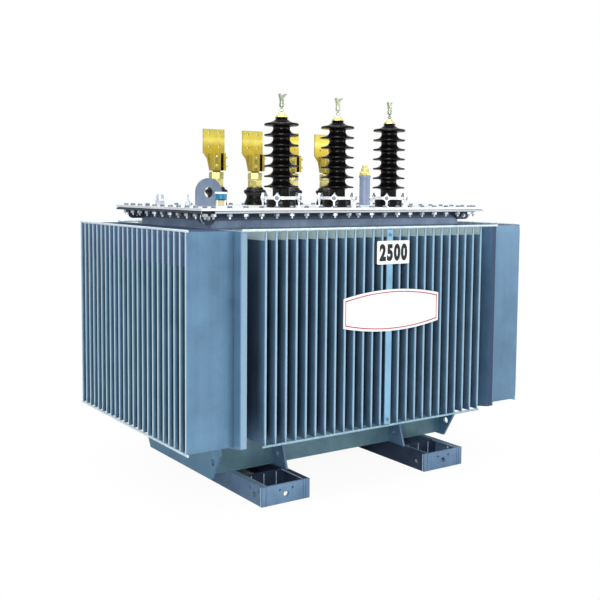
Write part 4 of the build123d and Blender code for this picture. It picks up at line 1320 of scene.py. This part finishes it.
def bite_shade_wall(shell):
    outline = []
    there, back = range(BITE_STEPS + 1), range(BITE_STEPS, -1, -1)
    for radius, steps in ((BITE_RADIUS, there), (BITE_RADIUS - BITE_SHEET, back)):
        for step in steps:
            angle = math.pi * (0.03 + 0.94 * step / BITE_STEPS)
            x, y = BITE_MIDDLE + radius * math.cos(angle), flange_low.y + radius * math.sin(angle)
            outline.append((x, y))
    add_slab(shell, outline, flange_low.z + 0.2 * MM, cover_low.z - 0.2 * MM)


# The round facing is dark zinc as painted shade
keep_piece("lug_facing", mesh_from("lug_facing", lug_facing, "dark_zinc"))
# A bright bead along the upper left edge of the facing is a painted highlight
rim_points = [(x, tank_lug_low.y - 2 * MM, z) for x, z in facing_arc(160, 78, 8)]
add_beads("lug_rim", list(zip(rim_points, rim_points[1:])), 3.2 * MM, "bright_zinc")
# A black sheet lines the bite in the flange as painted shade
keep_piece("flange_bite", mesh_from("flange_bite", bite_shade_wall, "figure_black"))
eye_x, eye_z = body_high.x + EYE_ASIDE, flange_low.z - EYE_DROP
shackle_places = []
for way, turn in ((1, 0.0), (-1, math.pi)):
    for side in (-1, 1):
        shackle_places.append((side * eye_x, way * tank_lug_high.y, eye_z, turn))
copied_piece("shackle_bolts", shackle_bolt, shackle_places, "bright_zinc")

# %% [markdown]
# ## Plates
# A strip of bright sheet runs down the fins and carries two plates. Both are white enamel. The
# upper one shows a plain number, the lower one only a thin red line round its edge.

# %% Plates and strip fittings
strip_low, strip_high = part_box("plate_strip")
name_low, name_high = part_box("name_plate")
number_low, number_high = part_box("number_plate")
PLATE_BACK = strip_low.y
BORDER_INSET = 11 * MM
BORDER_WIDTH = 5 * MM
BORDER_RISE = 0.5 * MM
NAME_BULGE = 34 * MM
name_half = (name_high.x - name_low.x) / 2
name_side = (name_high.z - name_low.z) / 2 - NAME_BULGE
name_front = name_low.y + BORDER_RISE


def moved_to(low, high, outline):
    """Moves an outline to the middle of a box."""
    return [((low.x + high.x) / 2 + x, (low.z + high.z) / 2 + z) for x, z in outline]


def name_outline(inset, steps=20):
    """Outline of the name plate, whose long sides bow outwards, drawn inwards by an inset."""
    half_width = name_half - inset
    radius = (half_width ** 2 + NAME_BULGE ** 2) / (2 * NAME_BULGE)
    reach = math.asin(half_width / radius)
    top = []
    for step in range(steps + 1):
        angle = reach * (1 - 2 * step / steps)
        rise = name_side - inset + NAME_BULGE - radius + radius * math.cos(angle)
        top.append((radius * math.sin(angle), rise))
    return moved_to(name_low, name_high, top + [(-x, -z) for x, z in top])


def rounded_plate(half_width, half_height, corner, steps=5):
    """Outline of a rectangle with round corners."""
    outline = []
    for quarter, (sx, sz) in enumerate(((1, 1), (-1, 1), (-1, -1), (1, -1))):
        for step in range(steps + 1):
            angle = (quarter + step / steps) * math.pi / 2
            x = sx * (half_width - corner) + corner * math.cos(angle)
            outline.append((x, sz * (half_height - corner) + corner * math.sin(angle)))
    return outline


def plate_piece(name, outline, back, front, finish, replaced=()):
    mesh = mesh_from(name, lambda shell: add_slab(shell, outline, back, front, "Y"), finish)
    keep_piece(name, mesh, replaced, 30.0)


def border_ring(shell):
    rings = []
    for inset in (BORDER_INSET, BORDER_INSET + BORDER_WIDTH):
        for depth in (name_front, name_low.y):
            rings.append([shell.verts.new((x, depth, z)) for x, z in name_outline(inset)])
    outer_back, outer_front, inner_back, inner_front = rings
    faces = []
    count = len(outer_back)
    for first, second in (
        (outer_front, inner_front),
        (inner_back, outer_back),
        (outer_back, outer_front),
        (inner_front, inner_back),
    ):
        for step in range(count):
            after = (step + 1) % count
            faces.append(shell.faces.new((first[step], first[after], second[after], second[step])))
    bmesh.ops.recalc_face_normals(shell, faces=faces)


plate_piece("name_board", name_outline(0.0), PLATE_BACK, name_front, "plate_white", ("name_plate",))
keep_piece("name_border", mesh_from("name_border", border_ring, "plate_red"), (), 30.0)

number_x, number_z = (number_low.x + number_high.x) / 2, (number_low.z + number_high.z) / 2
NUMBER_CORNER = 8 * MM
board = rounded_plate((number_high.x - number_low.x) / 2, (number_high.z - number_low.z) / 2, NUMBER_CORNER)
board = moved_to(number_low, number_high, board)
number_front = number_low.y + BORDER_RISE
plate_piece("number_board", board, PLATE_BACK, number_front, "plate_white", ("number_plate",))
RIM_REACH, RIM_SINK, RIM_FOOT_CUT, RIM_TOP_CUT, RIM_SHEET = 13 * MM, 10 * MM, 4 * MM, 2 * MM, 3 * MM
rim_left, rim_right = number_low.x - RIM_REACH, number_low.x + RIM_SINK
rim = ((rim_left, number_low.z + RIM_FOOT_CUT), (rim_right, number_low.z))
rim += ((rim_right, number_high.z), (rim_left, number_high.z - RIM_TOP_CUT))
plate_piece("number_rim", rim, PLATE_BACK + RIM_SHEET, PLATE_BACK, "figure_black")

# %% [markdown]
# The figures are a text curve. It is made a mesh first and then stretched to its size and moved,
# because a finished piece's object has to stay at the origin.

# %% Figures
FIGURE_HEIGHT = 90 * MM
FIGURE_WIDTH = 188 * MM
FIGURE_SINK = 0.1 * MM
words = bpy.data.curves.new("figures", "FONT")
words.body = "2500"
words.align_x = "CENTER"
words.align_y = "CENTER"
words.offset = 0.06
words.space_character = 1.22
writer = bpy.data.objects.new("figures_text", words)
scene.collection.objects.link(writer)
bpy.context.view_layer.update()
figures = bpy.data.meshes.new_from_object(writer.evaluated_get(bpy.context.evaluated_depsgraph_get()))
bpy.data.objects.remove(writer)
spread = [[f(v.co[k] for v in figures.vertices) for f in (min, max)] for k in (0, 1)]
for vertex in figures.vertices:
    share_x = (vertex.co.x - spread[0][0]) / (spread[0][1] - spread[0][0]) - 0.5
    share_z = (vertex.co.y - spread[1][0]) / (spread[1][1] - spread[1][0]) - 0.5
    x, z = number_x + share_x * FIGURE_WIDTH, number_z + share_z * FIGURE_HEIGHT
    vertex.co = (x, number_low.y + FIGURE_SINK, z)
figures.materials.clear()
figures.materials.append(finishes["figure_black"])
keep_piece("number_figures", figures, (), 0)

# %% Screws of the strip
SCREW_INSET, SCREW_RADIUS, SCREW_RISE = 26 * MM, 10 * MM, 3 * MM


def strip_screw(shell):
    add_slab(shell, polygon(SCREW_RADIUS), -SCREW_RISE, 0.0, "Y")


strip_x = (strip_low.x + strip_high.x) / 2
screw_heights = (strip_low.z + SCREW_INSET, strip_high.z - SCREW_INSET)
screw_places = [(strip_x, strip_low.y, z, 0.0) for z in screw_heights]
copied_piece("strip_screws", strip_screw, screw_places, "dull_bolt")

# %% Put away the carrier
bpy.data.objects.remove(carrier)
